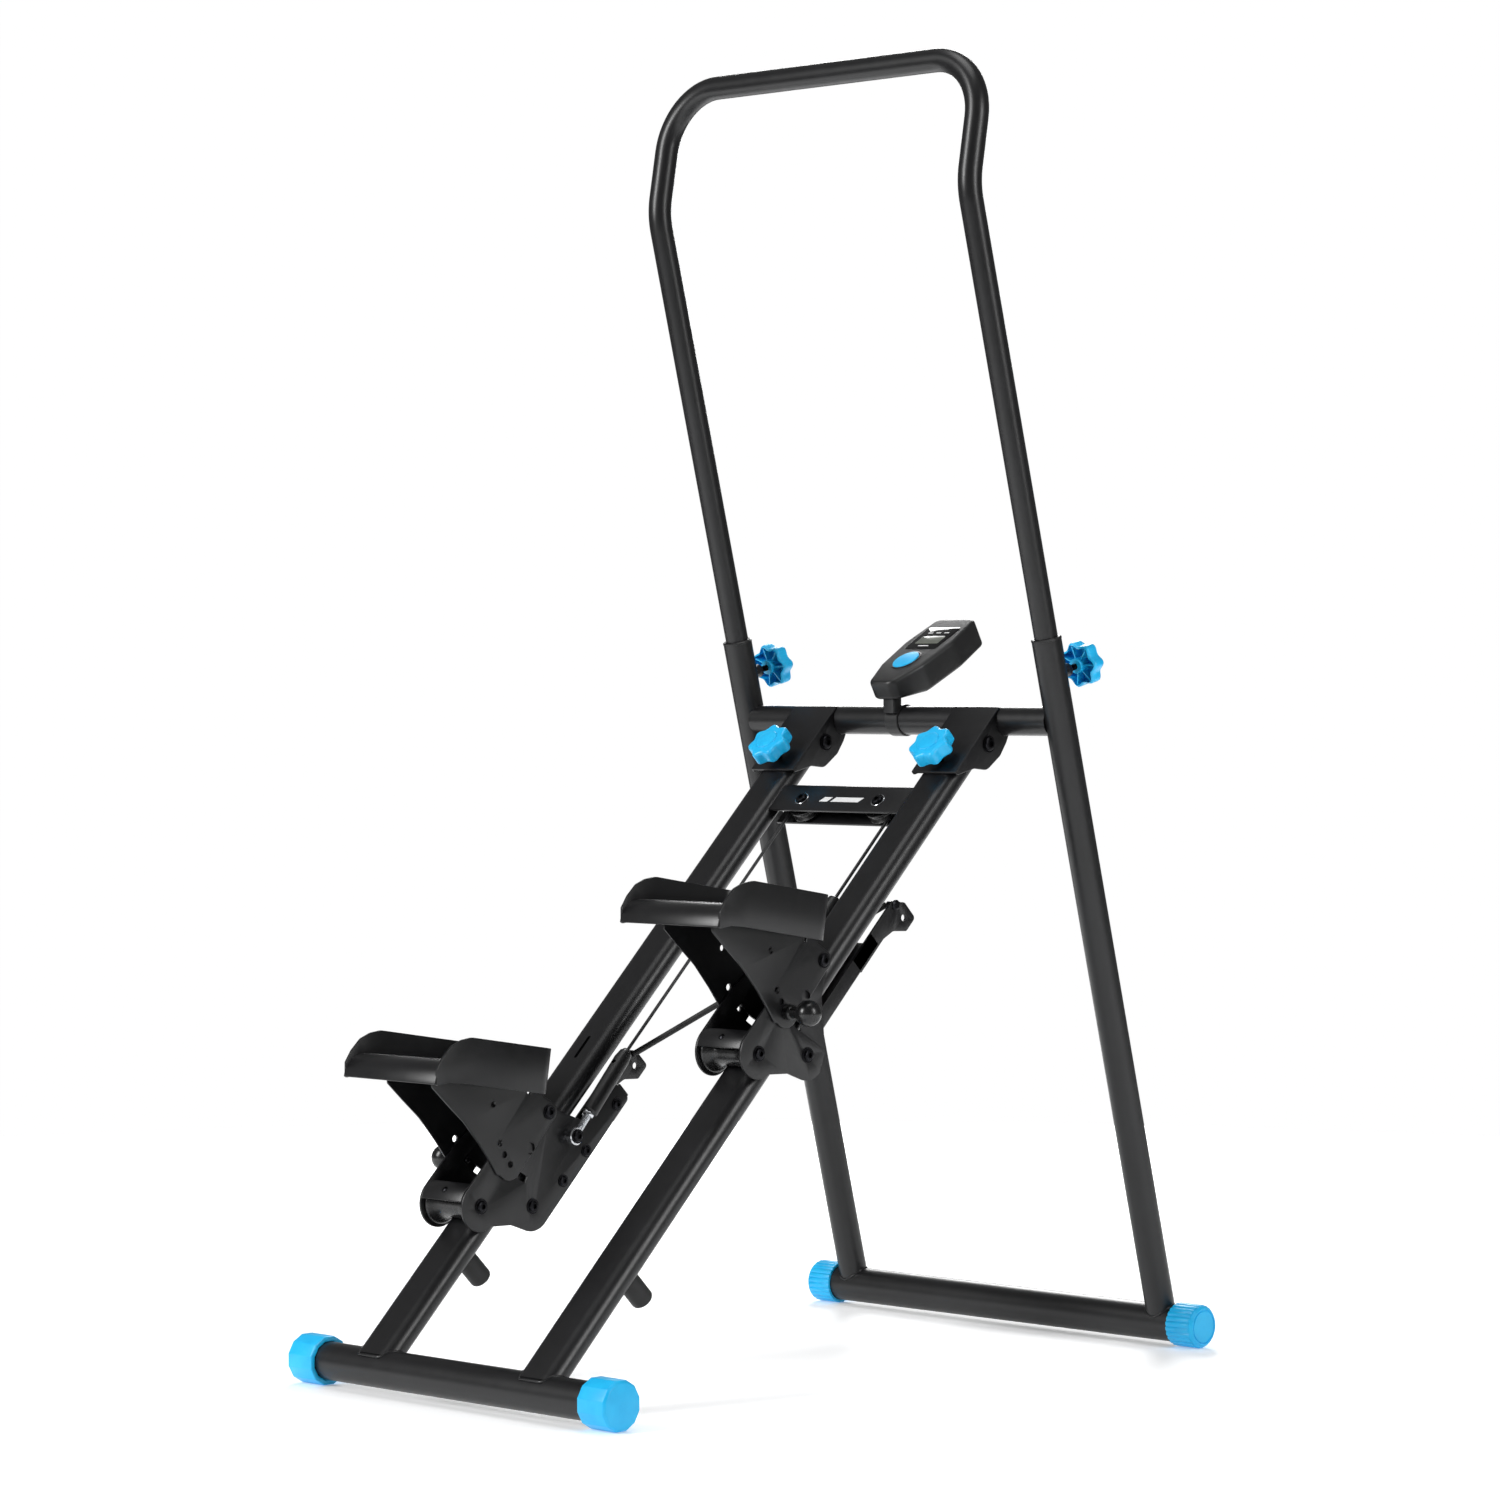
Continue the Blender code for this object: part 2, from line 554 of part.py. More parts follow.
def make_cable(rail_axes, black):
    """The cable: up from one carriage, over both pulleys, and down to the other carriage."""
    radius = CABLE_X - PULLEY_X
    over = arc((-PULLEY_X, PULLEY_ALONG), radius, 180, 90, 8) + arc((PULLEY_X, PULLEY_ALONG), radius, 90, 0, 8)
    cord("cable_over_pulleys", [(x, y, PULLEY_OUT) for x, y in over], CABLE_R, black, rail_axes)
    for side, sign, along in (("left", -1, LEFT_ALONG), ("right", 1, RIGHT_ALONG)):
        start = (sign * CABLE_X, along + TENSIONER_TOP + GAP, PULLEY_OUT)
        end = (sign * CABLE_X, PULLEY_ALONG - GAP, PULLEY_OUT)
        cord(side + "_cable", [start, end], CABLE_R, black, rail_axes)


def make_resistance_cord(rail_axes, rubber):
    """The elastic cord between the two carriage arms. Its middle stays where it is as they move."""
    start = Vector((-RAIL_X + CORD_INSET, LEFT_ALONG + CORD_ALONG, CORD_OUT))
    end = Vector((RAIL_X - CORD_INSET, RIGHT_ALONG + CORD_ALONG, CORD_OUT))
    cord("resistance_cord", [start, (start + end) / 2, end], CORD_R, rubber, rail_axes)


# ---------------------------------------------------------------- carriages
def lobed_outline(rear):
    """A side plate: front lobe, notch, rear lobe, then the given rear edge up to the pedal pivot."""
    front, back = (-ROLLER_SPREAD, ROLLER_OUT), (ROLLER_SPREAD, -ROLLER_OUT)
    pivot = arc(PEDAL_PIVOT, PEDAL_LOBE_R, -30, 70, 5)
    return [
        *arc(front, LOBE_R, 90, 262, 9),
        (-0.010, -0.024),
        *arc(back, LOBE_R, 205, 270, 5),
        *rear,
        *pivot,
        (0.045, ROLLER_OUT + LOBE_R),
    ]


def slot_cutter(name, parent, x):
    """The curved slot that the pull pin runs in as the pedal tilts about its pivot."""
    steps = 6
    wide, narrow = PIN_RADIUS + PIN_R + GAP, PIN_RADIUS - PIN_R - GAP
    reach = math.degrees((PIN_R + GAP) / PIN_RADIUS)
    start, end = PIN_ANGLE - reach, PIN_ANGLE + PEDAL_TILT + reach
    outline = arc(PEDAL_PIVOT, wide, start, end, steps) + arc(PEDAL_PIVOT, narrow, end, start, steps)
    return prism(name, outline, x - 2 * SHEET, x + 2 * SHEET, None, parent)


def pin_at():
    angle = math.radians(PIN_ANGLE)
    return (PEDAL_PIVOT[0] + PIN_RADIUS * math.cos(angle), PEDAL_PIVOT[1] + PIN_RADIUS * math.sin(angle))


def bore_cutter(name, parent, at, radius):
    sides = BOLT_SEGMENTS
    return rod(name, (-CUT, *at), (CUT, *at), radius / math.cos(math.pi / sides), None, parent, sides)


def make_plates(side, inward, carriage, steel):
    """Both side plates. The inner one also carries the arm, behind the rail."""
    rear_inner = [
        (0.140, ARM_REAR), (ARM_TOP, ARM_REAR + 0.007), (ARM_TOP, -0.036), (0.152, -0.026), (0.146, 0.012),
    ]  # fmt: skip
    rear_outer = [(0.058, -0.036), (0.095, 0.002)]
    bores = [
        bore_cutter(side + "_front_bore", carriage, (-ROLLER_SPREAD, ROLLER_OUT), AXLE_R + GAP),
        bore_cutter(side + "_rear_bore", carriage, (ROLLER_SPREAD, -ROLLER_OUT), AXLE_R + GAP),
        bore_cutter(side + "_pivot_bore", carriage, PEDAL_PIVOT, AXLE_R + GAP),
    ]
    for kind, sign, rear in (("inner", inward, rear_inner), ("outer", -inward, rear_outer)):
        low, high = sorted((sign * PLATE_IN, sign * PLATE_OUT))
        plate = prism(f"{side}_{kind}_plate", lobed_outline(rear), low, high, steel, carriage)
        slot = slot_cutter(f"{side}_{kind}_slot", carriage, sign * PLATE_IN)
        boolean(plate, "DIFFERENCE", *bores, slot)


def roller_profile():
    """Half of a roller that wraps the rail's flat face and its rounded edges, mirrored for the other half."""
    flat = RAIL_HALF_WIDTH - RAIL_HALF_DEPTH
    half = [(0, ROLLER_CORE_R), (flat, ROLLER_CORE_R)]
    for angle in (30, 57):
        x = flat + ROLLER_GROOVE_R * math.sin(math.radians(angle))
        half.append((x, ROLLER_OUT - ROLLER_GROOVE_R * math.cos(math.radians(angle))))
    half += [(RAIL_HALF_WIDTH, ROLLER_RIM_R), (ROLLER_HALF - 0.001, ROLLER_RIM_R)]
    half.append((ROLLER_HALF, ROLLER_RIM_R - 0.002))
    right = half + [(ROLLER_HALF, AXLE_R + BORE_GAP)]
    return [(-x, r) for x, r in right[::-1]] + right[1:]


def make_rollers(side, carriage, plastic, dark):
    reach = PLATE_OUT + GAP
    for kind, along, out in (("front", -ROLLER_SPREAD, ROLLER_OUT), ("rear", ROLLER_SPREAD, -ROLLER_OUT)):
        at = Matrix.Translation((0, along, out))
        turned(f"{side}_{kind}_roller", roller_profile(), plastic, carriage, at, 16, closed=True)
        turned(f"{side}_{kind}_axle", bolt_profile(-reach, reach, AXLE_R), dark, carriage, at, BOLT_SEGMENTS)


def make_roller_guard(side, carriage, steel):
    """A bent sheet between the plates, over the front roller."""
    centre = (-ROLLER_SPREAD, ROLLER_OUT)
    inner = ROLLER_RIM_R + 0.003
    low, high = 72, 118
    outline = arc(centre, inner + 0.002, low, high, 6) + arc(centre, inner, high, low, 6)
    reach = PLATE_IN - GAP
    prism(side + "_roller_guard", outline, -reach, reach, steel, carriage)


def make_arm(side, inward, carriage, steel):
    """A channel behind the rail, beside the inner plate: one wall of it ends in a flared tab."""
    web_start = -inward * ARM_MIDDLE
    low, high = sorted((inward * (PLATE_IN - GAP), web_start))
    top = ARM_TOP + SHEET * 2
    back = [(ARM_LOW, ARM_REAR), (top, ARM_REAR), (top, ARM_FRONT), (ARM_LOW, ARM_FRONT)]
    arm = prism(side + "_arm", back, low, high, steel, carriage)
    floor = ARM_REAR + SHEET
    hollow = [(ARM_LOW - CUT, floor), (top + CUT, floor), (top + CUT, 0), (ARM_LOW - CUT, 0)]
    inside = prism(side + "_arm_inside", hollow, low + SHEET, high - SHEET, None, carriage)
    tab = [
        (0.200, ARM_REAR + 0.001), (0.245, ARM_REAR), (0.266, -0.068), (0.283, -0.086), (ARM_TAB_TOP, -0.086),
        (ARM_TAB_TOP, -0.060), (0.292, ARM_FRONT), (0.200, ARM_FRONT),
    ]  # fmt: skip
    web = sorted((web_start, web_start + inward * SHEET))
    tip = (CORD_ALONG, CORD_OUT)
    stud_ends = [(web_start + inward * SHEET / 2, *tip), (inward * CORD_STUD_END, *tip)]
    stud = rod(side + "_cord_stud", *stud_ends, CORD_STUD_R, None, carriage, BOLT_SEGMENTS)
    boolean(arm, "DIFFERENCE", inside)
    boolean(arm, "UNION", prism(side + "_arm_tab", tab, *web, None, carriage), stud)


def make_tensioner(side, inward, carriage, chrome):
    """The cable's end fitting: an eye on the inner plate, a threaded rod and a sleeve, in one line."""
    x = inward * CABLE_IN
    start, end = TENSIONER_SLEEVE
    direction = Vector((0, TENSIONER_TOP - EYE[0], PULLEY_OUT - EYE[1]))
    profile = [
        (0, TENSIONER_ROD_R), (start, TENSIONER_ROD_R), (start, TENSIONER_SLEEVE_R),
        (end, TENSIONER_SLEEVE_R), (direction.length, TENSIONER_SLEEVE_R - CAP_CHAMFER),
    ]  # fmt: skip
    turn = Matrix.Translation((x, *EYE)) @ direction.to_track_quat("X", "Z").to_matrix().to_4x4()
    body = turned(side + "_cable_tensioner", profile, chrome, carriage, turn, 16)
    eye_ends = [(inward * (PLATE_OUT + GAP), *EYE), (x + inward * EYE_R, *EYE)]
    boolean(body, "UNION", rod(side + "_eye", *eye_ends, EYE_R, None, carriage, 16))


# ---------------------------------------------------------------- pedals
def pedal_profile():
    """The tread's section from toe to heel, with its rolled-down heel lip."""
    roll = PEDAL_ROLL_R
    centre = (PEDAL_HEEL + roll, PEDAL_TREAD - roll)
    top = [(PEDAL_TOE - GAP, PEDAL_TREAD)] + arc(centre, roll, 90, 183, 8)
    under = arc(centre, roll - PEDAL_SHEET, 183, 90, 8) + [(PEDAL_TOE - GAP, PEDAL_TREAD - PEDAL_SHEET)]
    return top + under


def make_tray(side, pedal, plastic):
    """The pedal: a tread between two side guards that meet round the toe."""
    half, sheet, corner = PEDAL_HALF_WIDTH, PEDAL_SHEET, PEDAL_CORNER_R
    tray = prism(side + "_pedal", pedal_profile(), sheet / 2 - half, half - sheet / 2, plastic, pedal)
    outer = wall_plan(half, PEDAL_TOE, corner)
    inner = wall_plan(half - sheet, PEDAL_TOE - sheet, corner - sheet)
    plan = outer + inner[::-1]
    rings = [[(x, y, z) for x, y in plan] for z in (PEDAL_GUARD_LOW, PEDAL_GUARD_TOP)]
    wall = place(side + "_guard", loft(rings), None, pedal)
    heel = PEDAL_HEEL + GUARD_HEEL_R - GUARD_SETBACK
    sweep = arc((heel, PEDAL_GUARD_TOP - GUARD_HEEL_R), GUARD_HEEL_R, 90, 190, 8)
    above, behind = PEDAL_GUARD_TOP + CUT, PEDAL_HEEL - CUT
    away = [(behind, PEDAL_GUARD_TOP - CUT), (behind, above), (heel, above)]
    trim = prism(side + "_guard_trim", sweep + away, -2 * CUT, 2 * CUT, None, pedal)
    boolean(wall, "DIFFERENCE", trim)
    boolean(tray, "UNION", wall)


def wall_plan(half, toe, corner):
    """The guards' plan line: from one heel end round the toe to the other."""
    heel = PEDAL_HEEL
    right = arc((half - corner, toe - corner), corner, 0, 90, 5)
    left = arc((corner - half, toe - corner), corner, 90, 180, 5)
    return [(half, heel), *right, *left, (-half, heel)]


def make_pedal_bracket(side, pedal, steel):
    """A folded bracket under the tread: two curved side plates that straddle the carriage."""
    top = PEDAL_TREAD - PEDAL_SHEET - GAP
    low, toe = PEDAL_GUARD_LOW - PEDAL_ROOM, PEDAL_TOE - PEDAL_SHEET - PEDAL_ROOM
    outline = [
        (toe, top), (-0.200, top), (-0.196, 0.012), (-0.167, -0.007), (-0.138, -0.025), (-0.108, -0.050),
        (-0.088, -0.069), (-0.074, -0.084), *arc((-0.0546, -0.0691), 0.020, 235, 330, 4),
        *arc((0, 0), PEDAL_LOBE_R - PEDAL_ROOM, -55, 60, 5), (-0.012, low), (toe, low),
    ]  # fmt: skip
    bracket = prism(side + "_pedal_bracket", outline, -BRACKET_OUT, BRACKET_OUT, steel, pedal)
    away = 2 * PEDAL_HEEL
    hollow = [(away, top - SHEET), (away, away), (CUT, away), (CUT, top - SHEET)]
    inside = prism(side + "_bracket_hollow", hollow, -BRACKET_IN, BRACKET_IN, None, pedal)
    boolean(bracket, "DIFFERENCE", inside)
    spots = [((0, 0), AXLE_R + BORE_GAP), ((-0.0243, -0.0467), 0.0075), ((-0.0942, 0.001), 0.004)]
    for step in range(3):
        angle = math.radians(PIN_ANGLE - step * PEDAL_TILT / 2) - PEDAL_TURN
        spots.append(((PIN_RADIUS * math.cos(angle), PIN_RADIUS * math.sin(angle)), PIN_R + GAP))
    for i, (spot, radius) in enumerate(spots):
        boolean(bracket, "DIFFERENCE", bore_cutter(f"{side}_bracket_hole{i}", pedal, spot, radius))


def make_pedal_pivot(side, carriage, dark):
    reach = BRACKET_OUT + GAP
    at = Matrix.Translation((0, *PEDAL_PIVOT))
    turned(side + "_pedal_pivot_bolt", bolt_profile(-reach, reach, AXLE_R), dark, carriage, at, BOLT_SEGMENTS)


def make_pull_pin(side, inward, carriage, plastic):
    """A pull pin through the outer bracket plate, with a necked ball to grip."""
    ball, centre = PIN_BALL_R, PIN_BALL_OUT
    shape = [(-PIN_DEPTH, PIN_R), (GAP, PIN_R), (GAP, 0.0095), (0.010, 0.0095), (0.016, 0.0075)]
    for angle in (145, 115, 85, 55, 20):
        shape.append((centre + ball * math.cos(math.radians(angle)), ball * math.sin(math.radians(angle))))
    outward = Matrix.Rotation(0 if inward < 0 else math.pi, 4, "Z")
    at = Matrix.Translation((-inward * BRACKET_OUT, *pin_at())) @ outward
    turned(side + "_pull_pin", shape, plastic, carriage, at, 14)


def make_carriage(side, inward, along, rail_axes, mats):
    rail_side = -inward
    carriage = axes(side + "_carriage_axes", Matrix.Translation((rail_side * RAIL_X, along, 0)), rail_axes)
    make_plates(side, inward, carriage, mats["steel"])
    make_rollers(side, carriage, mats["plastic"], mats["dark"])
    make_roller_guard(side, carriage, mats["steel"])
    make_arm(side, inward, carriage, mats["steel"])
    make_tensioner(side, inward, carriage, mats["chrome"])
    make_pedal_pivot(side, carriage, mats["dark"])
    make_pull_pin(side, inward, carriage, mats["plastic"])
    turn = Matrix.Translation((0, *PEDAL_PIVOT)) @ Matrix.Rotation(PEDAL_TURN, 4, "X")
    pedal = axes(side + "_pedal_axes", turn, carriage)
    make_tray(side, pedal, mats["steel"])
    make_pedal_bracket(side, pedal, mats["steel"])


# ---------------------------------------------------------------- star knobs
def make_knob(name, at, stud, material, parent=None):
    """A star knob along its local X: stud tip at 0, then hub, lobed skirt and a crowned top."""
    rings = []
    sides = KNOB_LOBES * 4
    skirt = 0.11
    for x, radius, wave in (
        (0, KNOB_STUD_R, 0), (stud, KNOB_STUD_R, 0), (stud, KNOB_HUB_R, 0), (stud + 0.004, KNOB_HUB_R, 0),
        (stud + 0.004, KNOB_R * 0.88, skirt), (stud + 0.020, KNOB_R * 0.90, skirt),
        (stud + 0.024, KNOB_R * 0.80, skirt * 0.8), (stud + 0.025, KNOB_R * 0.5, 0),
    ):  # fmt: skip
        reach = [radius * (1 + wave * math.cos(KNOB_LOBES * a)) for a in angles_round(sides)]
        rings.append([(x, r * math.cos(a), r * math.sin(a)) for r, a in zip(reach, angles_round(sides))])
    return place(name, loft(rings), material, parent, at)


def make_knobs(rail_axes, blue):
    behind = Vector((0, math.cos(LEAN), math.sin(LEAN)))
    turn = behind.to_track_quat("X", "Z").to_matrix().to_4x4()
    for side, sign in (("left", -1), ("right", 1)):
        at = Matrix.Translation(sleeve_knob_at(sign) + behind * (HANDLE_R + GAP)) @ turn
        make_knob(side + "_sleeve_knob", at, SLEEVE_STUD, blue)
        spot = (sign * RAIL_X, PIVOT_ALONG - RAIL_KNOB_DROP, RAIL_HALF_DEPTH + GAP)
        at = Matrix.Translation(spot) @ Matrix.Rotation(-math.pi / 2, 4, "Y")
        make_knob(side + "_rail_knob", at, RAIL_STUD, blue, rail_axes)


# ---------------------------------------------------------------- console
def console_plan(grow=1.0):
    """The housing's outline: a round nose in front, and two rounded corners behind."""
    half, nose, corner = CONSOLE_HALF_WIDTH, CONSOLE_NOSE_R, CONSOLE_CORNER_R
    inset = half - 0.022
    rear = CONSOLE_REAR - corner
    waist = half * 0.86
    plan = [
        *arc((0, CONSOLE_FRONT + nose), nose, 215, 325, 6), (waist, 0), (half, 0.050),
        *arc((inset, rear), corner, 10, 90, 4), *arc((-inset, rear), corner, 90, 170, 4),
        (-half, 0.050), (-waist, 0),
    ]  # fmt: skip
    return [(x * grow, y * grow) for x, y in plan]


def console_body(name, plan, gap, top, console, material=None):
    """A prism of the plan, cut away under its nose. gap makes it larger on its underside."""
    low = -CONSOLE_DEPTH - gap
    under = -CONSOLE_UNDER - gap
    deep = low - CONSOLE_UNDER
    front = CONSOLE_FRONT - 0.01
    body = place(name, loft([[(x, y, z) for x, y in plan] for z in (low, top)]), material, console)
    outline = [(front, under), (front, deep), (front + 0.085, deep), (front + 0.055, low)]
    return boolean(body, "DIFFERENCE", prism(name + "_cutter", outline, -CUT, CUT, None, console))


def make_console(plastic, blue):
    """A counter on the cross tube: foot, housing with a rounded nose, and one push button."""
    frame = Matrix.Translation(CROSS + CONSOLE_AT) @ Matrix.Rotation(CONSOLE_TILT, 4, "X")
    console = axes("console_axes", frame)
    housing = console_body("console_housing", console_plan(), 0, 0, console, plastic)
    pocket = ellipse_rings([r + GAP for r in BUTTON_R], (-2 * BUTTON_DEPTH, BUTTON_DEPTH))
    boolean(housing, "DIFFERENCE", place("button_pocket", loft(pocket), None, console))
    button = ellipse_rings(BUTTON_R, (-BUTTON_DEPTH, BUTTON_STANDS))
    place("console_button", loft(button), blue, console)
    half, length, height = CONSOLE_FOOT
    corners = [(-half, -length), (half, -length), (half, length), (-half, length)]
    rings = [[(x, y, z) for x, y in corners] for z in (0, height)]
    low = CROSS + Vector((0, -0.017, CROSS_TUBE_R * 0.55))
    foot = place("console_foot", loft(rings), plastic, None, Matrix.Translation(low))
    reach = Vector((CUT, 0, 0))
    tube_cutter = cope_cutter("foot_saddle_cutter", CROSS - reach, CROSS + reach, CROSS_TUBE_R)
    clear = console_body("housing_clearance", console_plan(1.004), GAP, CUT, console)
    boolean(foot, "DIFFERENCE", tube_cutter, clear)


def ellipse_rings(radii, heights):
    return [[(radii[0] * math.cos(a), radii[1] * math.sin(a), z) for a in angles_round(24)] for z in heights]


# ---------------------------------------------------------------- the whole machine
def clear_scene():
    for obj in list(bpy.data.objects):
        bpy.data.objects.remove(obj)


def main():
    clear_scene()
    steel = finish("black_powder_coat", (0.012, 0.012, 0.013), 0.45, 0.3)
    mats = {
        "steel": steel,
        "dark": finish("black_oxide_bolts", (0.02, 0.02, 0.02), 0.35, 0.9),
        "plastic": finish("black_plastic", (0.012, 0.012, 0.012), 0.4),
        "chrome": finish("plated_steel", (0.7, 0.7, 0.72), 0.2, 1.0),
        "rubber": finish("black_rubber", (0.015, 0.015, 0.015), 0.75),
        "blue": finish("blue_plastic", (0.012, 0.35, 0.76), 0.4),
    }
    rail_axes = axes("rail_axes", Matrix.Translation(FOOT) @ Matrix.Rotation(RAIL_ANGLE, 4, "X"))
    bpy.context.view_layer.update()
    front_cap = (FRONT_CAP_R, FRONT_CAP_LENGTH)
    rear_cap = (REAR_CAP_R, REAR_CAP_LENGTH)
    make_base("front", FRONT_HALF, front_cap, FRONT_TUBE_R, FRONT_Y, 12, None, steel, mats["blue"])
    make_base("rear", REAR_HALF, rear_cap, REAR_TUBE_R, REAR_Y, 24, None, steel, mats["blue"])
    make_uprights(steel)
    make_cross_tube(steel)
    make_handlebar(steel)
    make_hinge_brackets(rail_axes, steel)
    make_hinge_bolts(rail_axes, mats["dark"])
    make_rails(rail_axes, steel)
    make_stops(rail_axes, mats["rubber"])
    make_bridge(rail_axes, steel)
    make_pulleys(rail_axes, mats["plastic"], mats["dark"])
    make_cable(rail_axes, mats["plastic"])
    make_resistance_cord(rail_axes, mats["rubber"])
    make_carriage("left", 1, LEFT_ALONG, rail_axes, mats)
    make_carriage("right", -1, RIGHT_ALONG, rail_axes, mats)
    make_knobs(rail_axes, mats["blue"])
    make_console(mats["plastic"], mats["blue"])


main()
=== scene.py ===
# %% [markdown]
# # A folding rail stepper
# This machine is a leaning A of black tube. Two pedal carriages roll on its inclined legs, and a cable over
# two pulleys makes one go up as the other goes down. This lesson gives each piece its finished shape and
# surface.

# %% Load the frame
import json
import math

import bpy
from mathutils import Matrix, Vector


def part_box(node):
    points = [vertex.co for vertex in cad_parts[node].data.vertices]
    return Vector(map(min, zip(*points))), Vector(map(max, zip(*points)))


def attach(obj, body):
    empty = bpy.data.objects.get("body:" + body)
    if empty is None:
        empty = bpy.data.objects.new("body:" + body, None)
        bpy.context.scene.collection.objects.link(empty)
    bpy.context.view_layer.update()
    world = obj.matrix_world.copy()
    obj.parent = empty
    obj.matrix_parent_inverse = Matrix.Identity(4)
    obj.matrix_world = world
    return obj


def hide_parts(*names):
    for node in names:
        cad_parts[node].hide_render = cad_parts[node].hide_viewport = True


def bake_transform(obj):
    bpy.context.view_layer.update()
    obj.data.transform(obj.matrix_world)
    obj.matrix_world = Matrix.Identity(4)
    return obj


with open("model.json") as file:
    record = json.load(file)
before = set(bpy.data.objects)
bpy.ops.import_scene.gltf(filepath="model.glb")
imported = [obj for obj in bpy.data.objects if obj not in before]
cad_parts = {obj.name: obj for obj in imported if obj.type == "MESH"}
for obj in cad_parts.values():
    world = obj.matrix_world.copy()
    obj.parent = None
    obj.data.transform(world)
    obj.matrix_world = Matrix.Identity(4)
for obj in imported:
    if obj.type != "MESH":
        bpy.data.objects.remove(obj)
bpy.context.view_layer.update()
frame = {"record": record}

joints = {joint["name"]: joint for joint in frame["record"]["behaviour"]["joints"]}

# %% [markdown]
# ## Where things are
# Every place is read from the joints of the CAD model: a hinge gives a point and an axis, a slide gives a
# direction. A piece is modelled round the world's origin, along the plain axes, and is moved at the end into
# the frame that it belongs to. The rail frame runs across, up the rail and out of its front face.

# %% Frames from the joints
ACROSS = Vector((1, 0, 0))
UP_RAIL = Vector(joints["left_carriage_roll"]["axis"]).normalized()
OUT = Vector(joints["left_pulley_spin"]["axis"]).normalized()
UP_SLEEVE = Vector(joints["handlebar_height"]["axis"]).normalized()
SIDES = (("left", -1), ("right", 1))


def spot(joint):
    return Vector(joints[joint]["pos_m"])


def axes_at(origin, across, along, out):
    """A matrix that takes local X, Y and Z to three directions, from an origin."""
    matrix = Matrix((across, along, out)).transposed().to_4x4()
    matrix.translation = origin
    return matrix


def carriage_at(side):
    middle = (spot(f"{side}_front_roller_spin") + spot(f"{side}_rear_roller_spin")) / 2
    return axes_at(middle, ACROSS, UP_RAIL, OUT)


FOLD = spot("fold")
RAIL_X = spot("right_front_roller_spin").x
rail_at = {side: axes_at(FOLD + ACROSS * sign * RAIL_X, ACROSS, UP_RAIL, OUT) for side, sign in SIDES}
middle_at = axes_at(FOLD, ACROSS, UP_RAIL, OUT)
print("rails lean", round(math.degrees(math.asin(UP_RAIL.z)), 1), "degrees, and are", 2 * RAIL_X, "m apart")

# %% [markdown]
# ## Colours and nodes
# Colours are written as sRGB hex, as a paint maker gives them, and one function turns them to linear light.
# A second function adds a shader node with its settings and its links in one line.

# %% Small helpers for materials


def linear(code):
    """An sRGB hex colour as linear RGBA."""
    parts = [int(code[i : i + 2], 16) / 255 for i in (1, 3, 5)]
    return tuple(p / 12.92 if p <= 0.04045 else ((p + 0.055) / 1.055) ** 2.4 for p in parts) + (1,)


def add(tree, kind, inputs=None, **settings):
    """A shader node with its settings; a socket among the inputs is linked, anything else is set."""
    made = tree.nodes.new("ShaderNode" + kind)
    for key, value in settings.items():
        setattr(made, key, value)
    for name, value in (inputs or {}).items():
        if isinstance(value, bpy.types.NodeSocket):
            tree.links.new(value, made.inputs[name])
        else:
            made.inputs[name].default_value = value
    return made


def start_finish(name, **sockets):
    """A new material, its tree, its shader with constant sockets set, and the object coordinates."""
    material = bpy.data.materials.new(name)
    material.use_nodes = True
    tree = material.node_tree
    shader = tree.nodes["Principled BSDF"]
    for socket, value in sockets.items():
        shader.inputs[socket.replace("_", " ")].default_value = value
    return material, tree, shader, add(tree, "TexCoord").outputs["Object"]


def mottle(tree, place, millimetres, dark, light):
    """A colour that drifts between two hex values, over patches of a real size."""
    noise = add(tree, "TexNoise", {"Vector": place, "Scale": 1000 / millimetres, "Detail": 3.0})
    ramp = add(tree, "ValToRGB", {"Fac": noise.outputs["Fac"]})
    ramp.color_ramp.elements[0].position = 0.3
    ramp.color_ramp.elements[0].color = linear(dark)
    ramp.color_ramp.elements[1].position = 0.7
    ramp.color_ramp.elements[1].color = linear(light)
    return ramp.outputs["Color"]


def vary(tree, place, millimetres, low, high):
    """A number that drifts between two values, for a roughness."""
    noise = add(tree, "TexNoise", {"Vector": place, "Scale": 1000 / millimetres, "Detail": 4.0})
    spread = {"Value": noise.outputs["Fac"], "To Min": low, "To Max": high}
    return add(tree, "MapRange", spread).outputs["Result"]


def grain(tree, place, millimetres, height, strength):
    """A bump of fine grain; height is in millimetres."""
    noise = add(tree, "TexNoise", {"Vector": place, "Scale": 1000 / millimetres, "Detail": 2.0})
    bump = {"Height": noise.outputs["Fac"], "Distance": height / 1000, "Strength": strength}
    return add(tree, "Bump", bump).outputs["Normal"]


# %% [markdown]
# ## Powder coat
# The tubes and plates are mild steel under a satin black polyester powder. The powder flows out as it is
# baked, but keeps a faint orange peel, 1 to 2 mm from crest to crest. That breaks up the long highlights
# along the tubes. It is a dielectric, so its metallic value is zero, and its gloss comes from roughness.

# %% Powder coat


def powder_coat():
    material, tree, shader, place = start_finish("satin_black_powder_coat", IOR=1.5)
    tree.links.new(mottle(tree, place, 60, "#0d0d0e", "#131315"), shader.inputs["Base Color"])
    tree.links.new(vary(tree, place, 12, 0.30, 0.40), shader.inputs["Roughness"])
    tree.links.new(grain(tree, place, 2.2, 0.25, 0.22), shader.inputs["Normal"])
    return material


POWDER = powder_coat()

# %% [markdown]
# ## Moulded plastics and rubber
# The caps, knobs and button are polypropylene with a blue masterbatch, straight from a polished mould. The
# housing, pulleys and rollers are black ABS and nylon, from a mould with a fine spark-eroded grain. The
# buffers are natural rubber, which scatters light far more than either.

# %% Plastics and rubber


